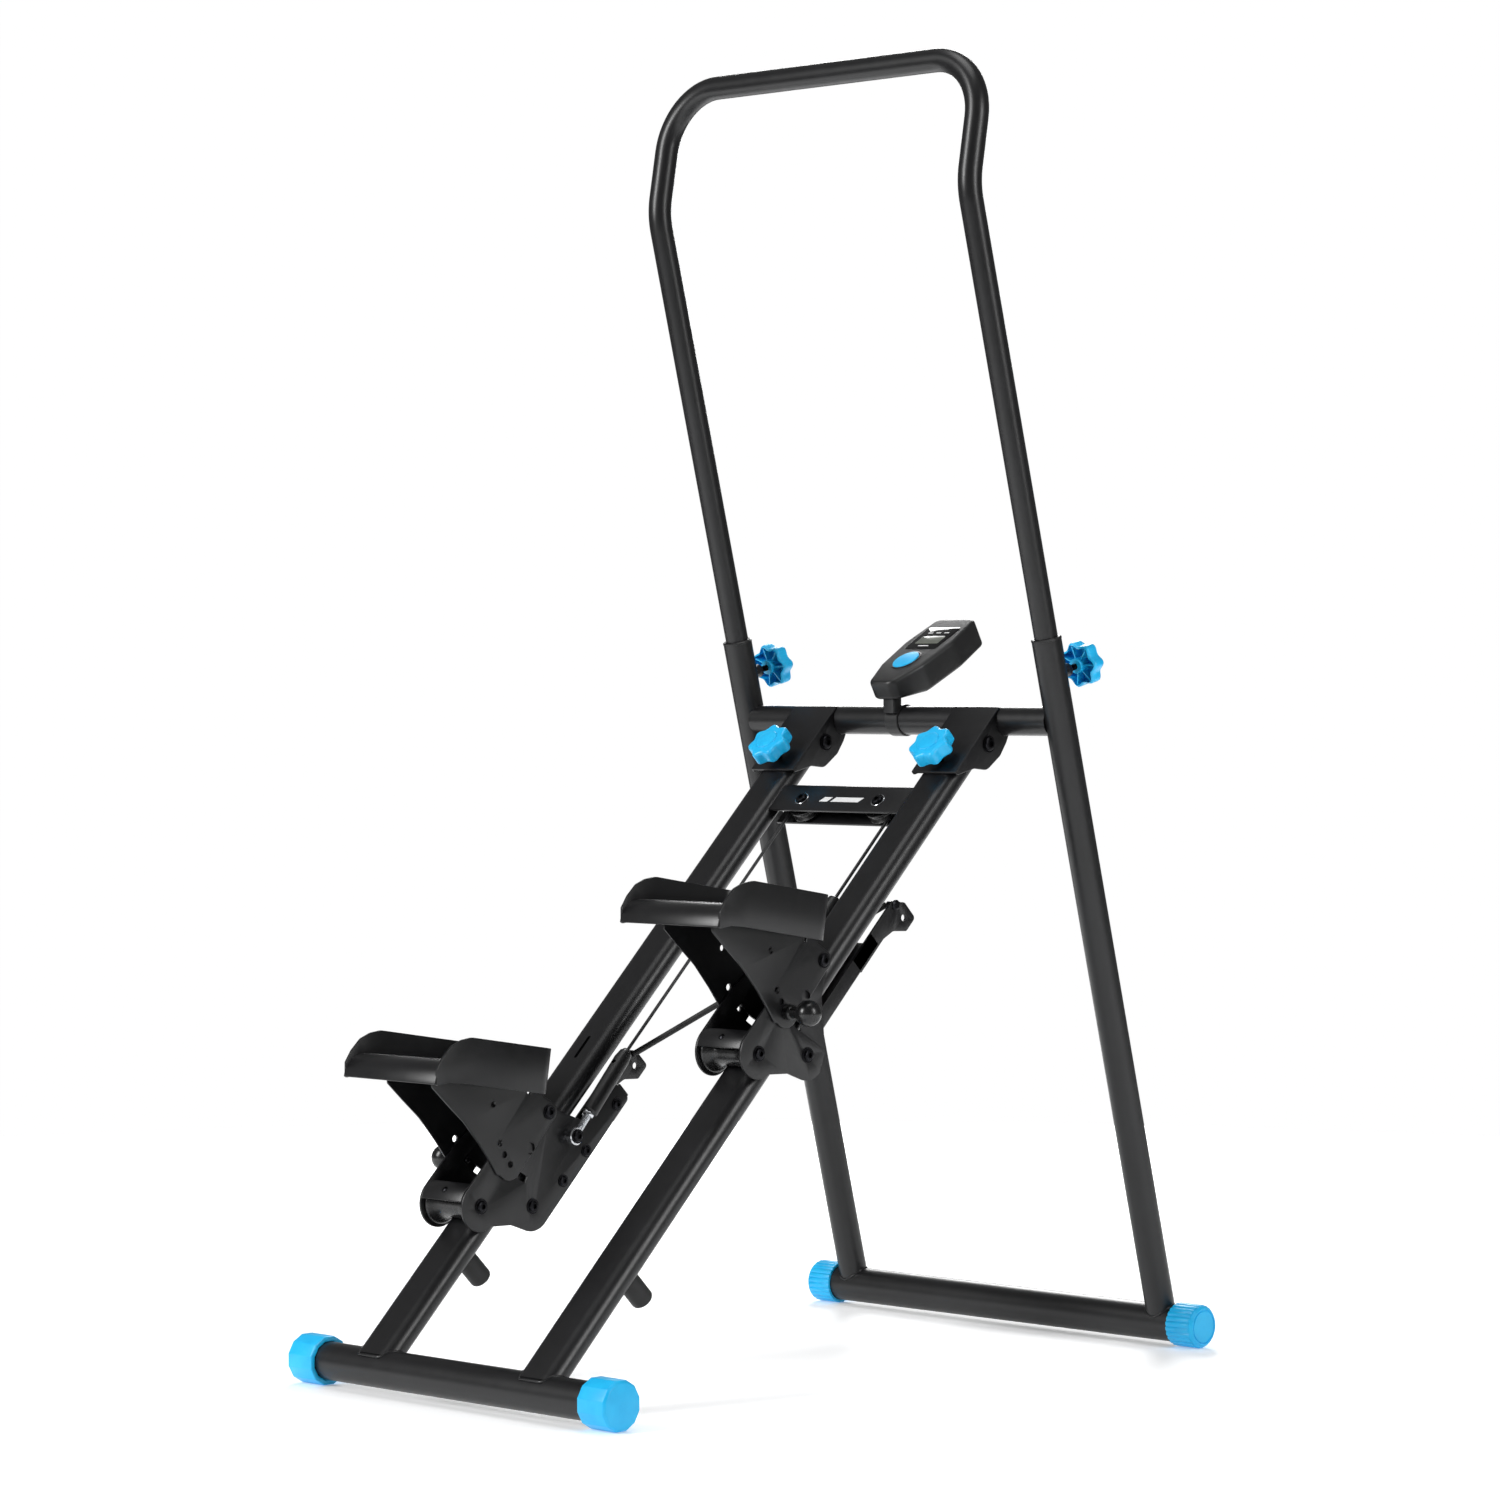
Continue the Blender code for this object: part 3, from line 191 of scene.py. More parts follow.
def moulded(name, dark, light, rough, grain_mm, strength, **sockets):
    """An injection-moulded plastic or a rubber: faint flow marks in the colour, and the mould's own grain."""
    material, tree, shader, place = start_finish(name, **sockets)
    tree.links.new(mottle(tree, place, 25, dark, light), shader.inputs["Base Color"])
    tree.links.new(vary(tree, place, 6, rough - 0.05, rough + 0.05), shader.inputs["Roughness"])
    tree.links.new(grain(tree, place, grain_mm, 0.15, strength), shader.inputs["Normal"])
    return material


BLUE = moulded("blue_polypropylene", "#12aee8", "#20bbf1", 0.36, 2.0, 0.06, IOR=1.49)
ABS = moulded("black_abs_spark_grain", "#0c0c0d", "#111112", 0.42, 1.2, 0.25, IOR=1.54)
NYLON = moulded("black_nylon_rollers", "#0a0a0b", "#0e0e0f", 0.28, 3.0, 0.05, IOR=1.53)
RUBBER = moulded("black_rubber_buffers", "#0c0c0c", "#111111", 0.62, 1.5, 0.4, IOR=1.52)
SHEATH = moulded("cable_pvc_sheath", "#121213", "#18181a", 0.40, 1.0, 0.5, IOR=1.53)

# %% [markdown]
# ## Metals that show
# The bolts are steel with a black oxide skin, which still shines like metal. The cable's end fitting and the
# bolts' rims are bright zinc. A metal takes its colour from the reflection, so metallic is one.

# %% Bolts and zinc


def bare_metal(name, dark, light, low, high):
    material, tree, shader, place = start_finish(name, Metallic=1.0)
    tree.links.new(mottle(tree, place, 4, dark, light), shader.inputs["Base Color"])
    tree.links.new(vary(tree, place, 2, low, high), shader.inputs["Roughness"])
    tree.links.new(grain(tree, place, 1.5, 0.05, 0.15), shader.inputs["Normal"])
    return material


OXIDE = bare_metal("black_oxide_steel", "#1c1c1e", "#2a2a2d", 0.28, 0.42)
ZINC = bare_metal("bright_zinc_plate", "#c4c7cb", "#dfe1e4", 0.14, 0.26)


# %% [markdown]
# ## Print, window and display
# The counter has a dark polycarbonate window, a grey liquid crystal display and thin white marks. The marks
# here are plain dashes, with no lettering.

# %% Print, window and display
PRINT = moulded("white_pad_print", "#d4d4d4", "#e4e4e4", 0.5, 1.0, 0.05)
WINDOW = moulded("smoked_window", "#050506", "#08080a", 0.08, 5.0, 0.0, IOR=1.58)
DISPLAY = moulded("grey_lcd", "#5f625b", "#73766e", 0.25, 5.0, 0.0)
print(len(bpy.data.materials), "finishes")

# %% [markdown]
# ## Working by hand, in code
# Each piece starts as a primitive, is shaped in edit mode and finished with modifiers that are applied.
# Operators act on whatever is selected, so these helpers clear the selection first. An outline starts as a
# filled circle with one corner for each of its points, whose corners are then dragged to their places.

# %% Selecting, outlines and extrusions


def only(piece):
    """Selects one piece and nothing else."""
    bpy.ops.object.select_all(action="DESELECT")
    piece.select_set(True)
    bpy.context.view_layer.objects.active = piece
    return piece


def added(name):
    piece = bpy.context.object
    piece.name = piece.data.name = name
    return piece


def flat(name, points, filled=True):
    """A flat face, or its bare edge loop, through points given in order."""
    bpy.ops.object.select_all(action="DESELECT")
    kind = "NGON" if filled else "NOTHING"
    bpy.ops.mesh.primitive_circle_add(vertices=len(points), radius=0.01, fill_type=kind, location=(0, 0, 0))
    piece = added(name)
    for vertex, point in zip(piece.data.vertices, points):
        vertex.co = point
    return piece


def edit(piece, *operators):
    """Runs edit mode operators on the whole of a piece; each is (operator, its settings)."""
    only(piece)
    bpy.ops.object.mode_set(mode="EDIT")
    bpy.ops.mesh.select_all(action="SELECT")
    for operator, settings in operators:
        operator(**settings)
    bpy.ops.object.mode_set(mode="OBJECT")
    return piece


def extrude(piece, way):
    """Gives a flat face its thickness and turns all faces outwards."""
    move = {"TRANSFORM_OT_translate": {"value": way}}
    return edit(
        piece,
        (bpy.ops.mesh.extrude_region_move, move),
        (bpy.ops.mesh.select_all, {"action": "SELECT"}),
        (bpy.ops.mesh.normals_make_consistent, {"inside": False}),
    )


def modify(piece, kind, **settings):
    """Adds a modifier and applies it."""
    only(piece)
    modifier = piece.modifiers.new(kind.lower(), kind)
    for key, value in settings.items():
        setattr(modifier, key, value)
    bpy.ops.object.modifier_apply(modifier=modifier.name)
    return piece


def soften(piece, width, segments=2, degrees=32):
    """Rounds the sharp edges, as a deburred or moulded edge is."""
    angle = math.radians(degrees)
    return modify(piece, "BEVEL", width=width, segments=segments, limit_method="ANGLE", angle_limit=angle)


def plate(name, outline, low, high, edge=0.0006):
    """A sheet piece in the YZ plane, between two places along X."""
    piece = flat(name, [(low, a, b) for a, b in outline])
    extrude(piece, (high - low, 0, 0))
    return soften(piece, edge) if edge else piece


def join(piece, *others):
    only(piece)
    for other in others:
        other.select_set(True)
    bpy.ops.object.join()
    return piece


# %% [markdown]
# ## Round things
# Bars, bores and bolts come from the cylinder primitive, laid between two points. Turned pieces are drawn as
# a half section and spun about X, as on a lathe. A spun shape can come out inside out, so its doubles are
# merged first, and its faces are then turned outwards.

# %% Bars, bores and turned pieces


def bar(name, start, end, radius, sides=48):
    """A round bar between two points."""
    start, end = Vector(start), Vector(end)
    turn = (end - start).to_track_quat("Z", "Y").to_euler()
    bpy.ops.object.select_all(action="DESELECT")
    bpy.ops.mesh.primitive_cylinder_add(
        vertices=sides, radius=radius, depth=(end - start).length, location=(start + end) / 2, rotation=turn
    )
    piece = added(name)
    bpy.ops.object.transform_apply(location=True, rotation=True, scale=True)
    return piece


def cut(piece, *cutters, operation="DIFFERENCE"):
    """Cuts shapes out of a piece, or fuses them to it, and removes the cutters."""
    for cutter in cutters:
        modify(piece, "BOOLEAN", operation=operation, solver="EXACT", object=cutter)
        bpy.data.objects.remove(cutter)
    return piece


def drill(piece, spots, radius, reach=0.06):
    """Drills holes along X at (Y, Z) spots."""
    return cut(piece, *[bar("drill", (-reach, *at), (reach, *at), radius, 24) for at in spots])


def turned(name, section, steps=48):
    """A half section of (X, radius) points, spun about X. It may start and end on the axis, or be a ring."""
    piece = flat(name, [(x, r, 0) for x, r in section], filled=False)
    if section[0][1] == 0:
        open_axis(piece)
    spin = {"steps": steps, "angle": math.tau, "center": (0, 0, 0), "axis": (1, 0, 0)}
    return edit(
        piece,
        (bpy.ops.mesh.spin, spin),
        (bpy.ops.mesh.select_all, {"action": "SELECT"}),
        (bpy.ops.mesh.remove_doubles, {"threshold": 1e-6}),
        (bpy.ops.mesh.normals_make_consistent, {"inside": False}),
    )


def open_axis(piece):
    """Removes the edge that runs along the axis, which would only fold onto itself."""
    only(piece)
    bpy.ops.object.mode_set(mode="EDIT")
    bpy.ops.mesh.select_mode(type="EDGE")
    bpy.ops.object.mode_set(mode="OBJECT")
    for vertex in piece.data.vertices:
        vertex.select = False
    for edge in piece.data.edges:
        edge.select = all(abs(piece.data.vertices[i].co.y) < 1e-9 for i in edge.vertices)
    bpy.ops.object.mode_set(mode="EDIT")
    bpy.ops.mesh.delete(type="EDGE_FACE")
    bpy.ops.mesh.select_mode(type="VERT")
    bpy.ops.object.mode_set(mode="OBJECT")


# %% [markdown]
# ## Outlines with round corners
# A pressed plate's outline is a polygon whose corners have their own radii. One function replaces each
# corner by an arc. Another gives the points of an arc between two angles.

# %% Arcs and rounded outlines


def arc(centre, radius, start, end, steps=12):
    angles = [math.radians(start + (end - start) * i / steps) for i in range(steps + 1)]
    return [(centre[0] + radius * math.cos(a), centre[1] + radius * math.sin(a)) for a in angles]


def rounded(corners, steps=6):
    """Turns (a, b, radius) corners into outline points."""
    outline = []
    for i, (a, b, radius) in enumerate(corners):
        corner = Vector((a, b))
        before = (Vector(corners[i - 1][:2]) - corner).normalized()
        after = (Vector(corners[(i + 1) % len(corners)][:2]) - corner).normalized()
        if not radius:
            outline.append((a, b))
            continue
        half = before.angle(after) / 2
        centre = corner + (before + after).normalized() * radius / math.sin(half)
        start = corner + before * radius / math.tan(half) - centre
        end = corner + after * radius / math.tan(half) - centre
        first = math.atan2(start.y, start.x)
        sweep = (math.atan2(end.y, end.x) - first + math.pi) % math.tau - math.pi
        for step in range(steps + 1):
            angle = first + sweep * step / steps
            outline.append((centre.x + radius * math.cos(angle), centre.y + radius * math.sin(angle)))
    return outline


# %% [markdown]
# ## Settling a piece
# When a piece is done it is moved into its frame and the move is applied, so that its object sits at the
# origin and its place is in its mesh. It then gets its finish and the body that it rides on, and the CAD
# nodes that it stands for are hidden.

# %% Settling


def settle(piece, at, finish, body, material_slot, *nodes, smooth=30):
    only(piece)
    piece.matrix_world = at @ piece.matrix_world
    bpy.ops.object.transform_apply(location=True, rotation=True, scale=True)
    bpy.ops.object.shade_smooth_by_angle(angle=math.radians(smooth))
    if finish:
        piece.data.materials.clear()
        piece.data.materials.append(finish)
    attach(piece, body)
    if nodes:
        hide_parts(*nodes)
    print(f"{piece.name}: {len(piece.data.polygons)} faces on {body}")
    return piece


def steel(piece, at, body, *nodes, **more):
    return settle(piece, at, POWDER, body, "black_powder_coat", *nodes, **more)


def fastener(piece, at, body, *nodes):
    return settle(piece, at, OXIDE, body, "black_oxide_bolts", *nodes)


HERE = Matrix()

# %% [markdown]
# ## Base tubes and weld beads
# Both base tubes are plain round tube, and the uprights and rails are coped and welded onto them. A weld
# bead is a row of overlapping ripples, so it is drawn as a thin cord along the line where the two tubes
# meet, whose thickness swells a little at each ripple.

# %% Base tubes


def middle_and_size(node):
    low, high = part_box(node)
    return (low + high) / 2, high - low


def base_tube(node, body):
    middle, size = middle_and_size(node)
    reach = Vector((size.x / 2, 0, 0))
    steel(bar(node + "_skin", middle - reach, middle + reach, size.z / 2, 64), HERE, body, node)


base_tube("front_base_tube", "rail_frame")
base_tube("rear_base_tube", "upright_frame")
FRONT, REAR = middle_and_size("front_base_tube")[0], middle_and_size("rear_base_tube")[0]
FRONT_R, REAR_R = (middle_and_size(n)[1].z / 2 for n in ("front_base_tube", "rear_base_tube"))

# %% Weld beads
BEAD = 0.0017
RIPPLE = 0.0035


def bead(name, points, body):
    """A weld bead along a closed line."""
    curve = bpy.data.curves.new(name, "CURVE")
    curve.dimensions = "3D"
    curve.bevel_depth = BEAD
    curve.bevel_resolution = 2
    spline = curve.splines.new("POLY")
    spline.points.add(len(points) - 1)
    spline.use_cyclic_u = True
    length = 0
    for i, (point, target) in enumerate(zip(points, spline.points)):
        length += (Vector(point) - Vector(points[i - 1])).length if i else 0
        target.co = (*point, 1)
        target.radius = 1 + 0.18 * math.sin(math.tau * length / RIPPLE)
    piece = bpy.data.objects.new(name, curve)
    bpy.context.scene.collection.objects.link(piece)
    only(piece)
    bpy.ops.object.convert(target="MESH")
    steel(bpy.context.object, HERE, body, smooth=60)


def meeting_line(start, way, section, tube, tube_r):
    """Where a bar of some section meets a round tube that lies along X, seen from the start of the bar."""
    points = []
    across, up = ACROSS, way.cross(ACROSS).normalized()
    for a, b in section:
        edge = start + across * a + up * b
        gap = (edge - tube).yz
        flat_way = way.yz
        half = gap.dot(flat_way) / flat_way.length_squared
        rest = (gap.length_squared - tube_r**2) / flat_way.length_squared
        travel = -half - math.sqrt(max(half * half - rest, 0))
        points.append(edge + way * travel)
    return points


print("bead ripple", RIPPLE * 1000, "mm")

# %% [markdown]
# ## Uprights, cross tube and handlebar
# Each upright is a sleeve of 38 mm tube. A plastic bush closes its top, and the 30 mm handlebar slides in
# the bush. Real handlebars are bent on a mandrel, so it is made the same way here: a ring is extruded along
# each straight run and spun round the centre of each bend.

# %% Uprights
BEHIND = Vector(joints["left_sleeve_knob_turn"]["axis"]).normalized()
SLEEVE_R = 0.01905
HANDLE_R = 0.015
KNOB_DROP = 0.046
STUD_GAP = HANDLE_R + 0.0003
WELD_POINTS = 48
sleeve_top = {}
for side, sign in SIDES:
    on_axis = spot(f"{side}_sleeve_knob_turn") - BEHIND * STUD_GAP
    sleeve_top[side] = top = on_axis + UP_SLEEVE * KNOB_DROP
    low = on_axis + UP_SLEEVE * (REAR.z - on_axis.z) / UP_SLEEVE.z
    sleeve = bar(f"{side}_upright_sleeve", low, top, SLEEVE_R)
    cut(sleeve, bar("bore", top - UP_SLEEVE * 0.03, top + UP_SLEEVE * 0.01, SLEEVE_R - 0.0016))
    boss = soften(bar("boss", on_axis + BEHIND * 0.010, on_axis + BEHIND * 0.0305, 0.0088), 0.0008)
    steel(join(sleeve, boss), HERE, "upright_frame", f"{side}_upright")
    bush = turned(
        f"{side}_sleeve_bush",
        [(-0.026, HANDLE_R + 0.0003), (-0.026, SLEEVE_R - 0.0018), (0.0002, SLEEVE_R - 0.0018),
         (0.0002, SLEEVE_R + 0.0004), (0.0022, SLEEVE_R + 0.0004), (0.0034, SLEEVE_R - 0.0012),
         (0.0034, HANDLE_R + 0.0003)],
    )  # fmt: skip
    bush_at = axes_at(top, UP_SLEEVE, ACROSS, UP_SLEEVE.cross(ACROSS))
    settle(bush, bush_at, ABS, "upright_frame", "black_plastic")
    circle = arc((0, 0), SLEEVE_R, 0, 360 - 360 / WELD_POINTS, WELD_POINTS - 1)
    bead(f"{side}_upright_weld", meeting_line(on_axis, -UP_SLEEVE, circle, REAR, REAR_R), "upright_frame")

# %% Cross tube
middle, size = middle_and_size("cross_tube")
reach = Vector((abs(spot("right_sleeve_knob_turn").x) - 0.012, 0, 0))
CROSS, CROSS_R = middle, size.z / 2
cross = bar("cross_tube_skin", middle - reach, middle + reach, CROSS_R, 64)
steel(cross, HERE, "upright_frame", "cross_tube")


# %% Handlebar
low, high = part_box("handlebar")
TOP_BAR_Z = high.z - HANDLE_R
BEND_Z = 1.466
TOP_RUN = 0.0285
BEND_R, CORNER_R = 0.100, 0.080
half_bar = [sleeve_top["left"] - UP_SLEEVE * 0.16]
half_bar.append(sleeve_top["left"] + UP_SLEEVE * (BEND_Z - sleeve_top["left"].z) / UP_SLEEVE.z)
half_bar.append(half_bar[1] + Vector((0, TOP_RUN, TOP_BAR_Z - BEND_Z)))
mirrored = [Vector((-p.x, p.y, p.z)) for p in reversed(half_bar)]
handle_path = half_bar + mirrored


def bent_tube(name, corners, radii, radius, sides=40, steps=16):
    """A tube bent as on a mandrel: straight runs are extruded, and bends are spun."""
    way = (corners[1] - corners[0]).normalized()
    bpy.ops.object.select_all(action="DESELECT")
    turn = way.to_track_quat("Z", "X").to_euler()
    bpy.ops.mesh.primitive_circle_add(vertices=sides, radius=radius, location=corners[0], rotation=turn)
    piece = added(name)
    bpy.ops.object.transform_apply(location=True, rotation=True, scale=True)
    bpy.ops.object.mode_set(mode="EDIT")
    bpy.ops.mesh.select_all(action="SELECT")
    here = corners[0]
    for before, corner, after, bend in zip(corners, corners[1:-1], corners[2:], radii):
        into, out = (corner - before).normalized(), (after - corner).normalized()
        half = into.angle(out) / 2
        back = bend * math.tan(half)
        start = corner - into * back
        centre = corner + (out - into).normalized() * bend / math.cos(half)
        bpy.ops.mesh.extrude_region_move(TRANSFORM_OT_translate={"value": start - here})
        bpy.ops.mesh.spin(steps=steps, angle=-2 * half, center=centre, axis=into.cross(out))
        here = corner + out * back
    bpy.ops.mesh.extrude_region_move(TRANSFORM_OT_translate={"value": corners[-1] - here})
    bpy.ops.mesh.select_all(action="SELECT")
    bpy.ops.mesh.remove_doubles(threshold=1e-6)
    bpy.ops.mesh.fill_holes(sides=sides)
    bpy.ops.mesh.normals_make_consistent(inside=False)
    bpy.ops.object.mode_set(mode="OBJECT")
    return piece


handle = bent_tube("handlebar_tube", handle_path, [BEND_R, CORNER_R, CORNER_R, BEND_R], HANDLE_R)
steel(handle, HERE, "handlebar", "handlebar", smooth=40)

# %% [markdown]
# ## Rails
# The rails are flat-oval tube, 60 by 30 mm, so that the rollers can wrap their rounded edges. Each is
# coped onto the front base tube, and ends in a cross barrel on the hinge bolt. The left rail has a short
# slot in its front face. A rail's outline is drawn across, and extruded up the rail.

# %% Rails
HALF_W, HALF_D = 0.030, 0.015
oval = arc((HALF_W - HALF_D, 0), HALF_D, -90, 90, 16) + arc((HALF_D - HALF_W, 0), HALF_D, 90, 270, 16)
RAIL_LENGTH = (FRONT - FOLD).dot(UP_RAIL)
for side, sign in SIDES:
    rail = flat(f"{side}_rail_tube", [(a, RAIL_LENGTH + 0.004, b) for a, b in oval])
    extrude(rail, (0, -RAIL_LENGTH - 0.006, 0))
    if side == "left":
        slot = flat("slot", [(b, a, 0.011) for a, b in
                             arc((-0.5375, 0), 0.0025, -90, 90, 8) + arc((-0.5695, 0), 0.0025, 90, 270, 8)])
        cut(rail, extrude(slot, (0, 0, 0.01)))
    barrel = bar("barrel", (-HALF_W + 0.001, 0, 0), (HALF_W - 0.001, 0, 0), HALF_D)
    steel(join(rail, soften(barrel, 0.0008)), rail_at[side], "rail_frame", f"{side}_rail")
    start = FOLD + ACROSS * sign * RAIL_X + UP_RAIL * (RAIL_LENGTH + 0.1)
    line = meeting_line(start, -UP_RAIL, oval, FRONT, FRONT_R)
    bead(f"{side}_rail_weld", line, "rail_frame")

# %% [markdown]
# ## Buffers
# A rubber buffer is pressed into the back of each rail. It is turned: straight sides and a rounded end.

# %% Buffers
STOP_LENGTH, STOP_EDGE = 0.046, 0.004
for side, sign in SIDES:
    low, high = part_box(f"{side}_rail_stop")
    radius = (high.x - low.x) / 2
    edge = arc((STOP_LENGTH - STOP_EDGE, radius - STOP_EDGE), STOP_EDGE, 90, 0, 5)
    section = [(0, 0), (0, radius), *edge, (STOP_LENGTH, 0)]
    foot = (low + high) / 2
    foot += OUT * ((FOLD - foot).dot(OUT) - HALF_D)
    stop_at = axes_at(foot, -OUT, ACROSS, -UP_RAIL)
    buffer = turned(f"{side}_buffer", section)
    settle(buffer, stop_at, RUBBER, "rail_frame", "black_rubber", f"{side}_rail_stop")

# %% [markdown]
# ## End caps
# The front caps have twelve flats, one of which stands on the floor. The rear ones are round with fine
# ribs, so that they can be turned by hand to level the machine. Both are hollow over the tube's end.

# %% End caps


FLATS = 12
HALF_FLAT = math.pi / FLATS


def front_cap(side, sign):
    middle, size = middle_and_size(f"{side}_front_cap")
    length, inner = size.x, FRONT_R + 0.0004
    corner = size.z / 2 / math.cos(HALF_FLAT)
    section = [(length, 0), (length, corner - 0.0032), (length - 0.0032, corner), (0.0012, corner),
               (0, corner - 0.0012), (0, inner + 0.0012), (0.0012, inner), (length - 0.004, inner),
               (length - 0.004, 0)]  # fmt: skip
    cap = turned(f"{side}_front_end_cap", section, FLATS)
    soften(cap, 0.0009, degrees=24)
    way = ACROSS * sign
    mouth = middle - way * length / 2
    up = Vector((0, math.sin(HALF_FLAT), math.cos(HALF_FLAT)))
    cap_at = axes_at(mouth, way, up, way.cross(up))
    settle(cap, cap_at, BLUE, "rail_frame", "blue_plastic", f"{side}_front_cap", smooth=20)


def ribbed(radius, depth, count, steps):
    """An outline with narrow grooves."""
    points = []
    for i in range(count * steps):
        angle = math.tau * i / (count * steps)
        reach = radius - depth * (0.5 + 0.5 * math.cos(count * angle)) ** 3
        points.append((reach * math.cos(angle), reach * math.sin(angle)))
    return points


def rear_cap(side, sign):
    middle, size = middle_and_size(f"{side}_rear_cap")
    length, radius = size.x, size.z / 2
    cap = flat(f"{side}_rear_end_cap", [(0, a, b) for a, b in ribbed(radius, 0.0013, 24, 10)])
    extrude(cap, (length - 0.004, 0, 0))
    soften(cap, 0.0010, 2, 60)
    end = [(0, 0), (0, 0.0078), (0.0012, 0.0072), (0.0012, 0.0064), (0, 0.0058), (0, 0.0042), (0.003, 0.0012),
           (0.005, 0.0014), (0.005, 0)]  # fmt: skip
    disc = turned("disc", [(length - back, radius - drop if drop else 0) for back, drop in end])
    cut(cap, bar("pocket", (-0.01, 0, 0), (length - 0.009, 0, 0), REAR_R + 0.0004))
    way = ACROSS * sign
    mouth = middle - way * length / 2
    cap_at = axes_at(mouth, way, Vector((0, 1, 0)), way.cross(Vector((0, 1, 0))))
    settle(join(cap, disc), cap_at, BLUE, "upright_frame", "blue_plastic", f"{side}_rear_cap", smooth=28)


for side, sign in SIDES:
    front_cap(side, sign)
    rear_cap(side, sign)

# %% [markdown]
# ## Star knobs
# Each knob clamps a tube with a threaded stud. It is a lobed polypropylene grip: seven round lobes, soft
# edges and a shallow ring round the middle of its top. Its underside is hollow, with ribs from the hub to the
# lobes, which shows on the sleeve knobs. Its outline is a circle whose radius rises and falls seven times.

# %% Star knobs
LOBES = 7
KNOB_R, KNOB_DEPTH = 0.0295, 0.020
RIB_MIDDLE, RIB_LENGTH, RIB_WALL = 0.0165, 0.0175, 0.0016
PITCH_M8 = 0.00125


def lobed(radius, wave, steps=14):
    points = []
    for i in range(LOBES * steps):
        angle = math.tau * i / (LOBES * steps)
        reach = radius * (1 - wave + wave * math.cos(LOBES * angle))
        points.append((reach * math.cos(angle), reach * math.sin(angle)))
    return points


def grip(name):
    """The blue part: X runs from its open underside, at 0, to its top."""
    body = flat(name, [(0, a, b) for a, b in lobed(KNOB_R, 0.085)])
    extrude(body, (KNOB_DEPTH, 0, 0))
    soften(body, 0.0042, 4, 60)
    hollow = flat("hollow", [(-0.001, a, b) for a, b in lobed(KNOB_R - 0.0028, 0.095)])
    extrude(hollow, (KNOB_DEPTH - 0.0035, 0, 0))
    cut(body, hollow)
    hub = bar("hub", (-0.004, 0, 0), (KNOB_DEPTH - 0.003, 0, 0), 0.0095, 32)
    ribs = []
    for i in range(LOBES):
        angle = math.tau * i / LOBES
        bpy.ops.object.select_all(action="DESELECT")
        middle = ((KNOB_DEPTH - 0.001) / 2, RIB_MIDDLE * math.cos(angle), RIB_MIDDLE * math.sin(angle))
        bpy.ops.mesh.primitive_cube_add(size=1, location=middle, rotation=(angle, 0, 0))
        rib = added("rib")
        rib.scale = (KNOB_DEPTH - 0.004, RIB_LENGTH, RIB_WALL)
        bpy.ops.object.transform_apply(location=True, rotation=True, scale=True)
        ribs.append(rib)
    dome = [(-0.001, 0), (-0.001, 0.0155), (0.0002, 0.0152), (0.0014, 0.0142), (0.0022, 0.0110)]
    dome += [(0.0026, 0.0060), (0.0027, 0)]
    top = turned("top", [(KNOB_DEPTH + rise, r) for rise, r in dome])
    return join(body, soften(hub, 0.0006), *ribs, top)


def knob(node, stud, way, body):
    """A grip on its stud: the stud's tip is on the joint's point."""
    here = spot(node + "_turn")
    across = ACROSS if abs(way.x) < 0.9 else OUT
    knob_at = axes_at(here + way * stud, way, across, way.cross(across))
    settle(grip(node + "_grip"), knob_at, BLUE, body, "blue_plastic", node, smooth=35)
    thread = [(-stud, 0), (-stud, 0.0034)]
    for turn in range(int(stud / PITCH_M8) - 1):
        x = -stud + turn * PITCH_M8
        thread += [(x + 0.0003, 0.0034), (x + 0.0006, 0.0040), (x + 0.0009, 0.0040), (x + 0.0012, 0.0034)]
    thread += [(0, 0.0034), (0, 0)]
    fastener(turned(node + "_stud", thread, 24), knob_at, body)


for side, sign in SIDES:
    knob(f"{side}_sleeve_knob", 0.034, BEHIND, f"{side}_sleeve_knob")
    knob(f"{side}_rail_knob", 0.018, OUT, f"{side}_rail_knob")

# %% [markdown]
# ## Bolts
# Socket head bolts hold the pedals, the rollers and the hinges. Each is turned with its washer: a rounded
# head, then a shank. A hexagon socket is cut into the head, and a lock nut closes the far end.

# %% Bolts


def bolt(name, head_r, low, high, shank):
    """A through bolt along X with its head at the high end."""
    height = head_r * 0.55
    section = [(low, 0), (low, shank), (high, shank), (high, head_r * 1.28), (high + 0.0011, head_r * 1.28),
               (high + 0.0011, head_r), (high + height * 0.55, head_r), (high + height * 0.85, head_r * 0.9),
               (high + height, head_r * 0.72), (high + height, 0)]  # fmt: skip
    socket = bar("socket", (high + height * 0.3, 0, 0), (high + height * 2, 0, 0), head_r * 0.5, 6)
    return cut(turned(name, section, 40), socket)


def nut(name, low, size):
    """A thin lock nut whose flat side is at low, standing towards -X."""
    piece = bar(name, (low - size * 0.75, 0, 0), (low, 0, 0), size, 6)
    soften(piece, 0.0006)
    section = [(1.15, 0.4), (1.15, 0.62), (0.7, 0.8), (0.7, 0.4)]
    collar = turned("collar", [(low - size * out, size * r) for out, r in section], 24)
    return join(piece, collar)


def through_bolt(name, at, reach, shank, head_r, body, node, proud=0):
    """A bolt through walls that end at -reach and reach; its head may sit proud of the far one."""
    piece = join(bolt(name, head_r, -reach - 0.004, reach + proud, shank), nut("nut", -reach, head_r * 0.95))
    return fastener(piece, at, body, node)


# %% [markdown]
# ## Hinge brackets
# Each hinge bracket is one folded sheet, 3 mm thick: a front plate over the rail, and two ears that are
# notched round the cross tube and carry the hinge bolt. The ear is drawn with a round corner at each bend
# of its outline. The U is made by hollowing the extruded ear.

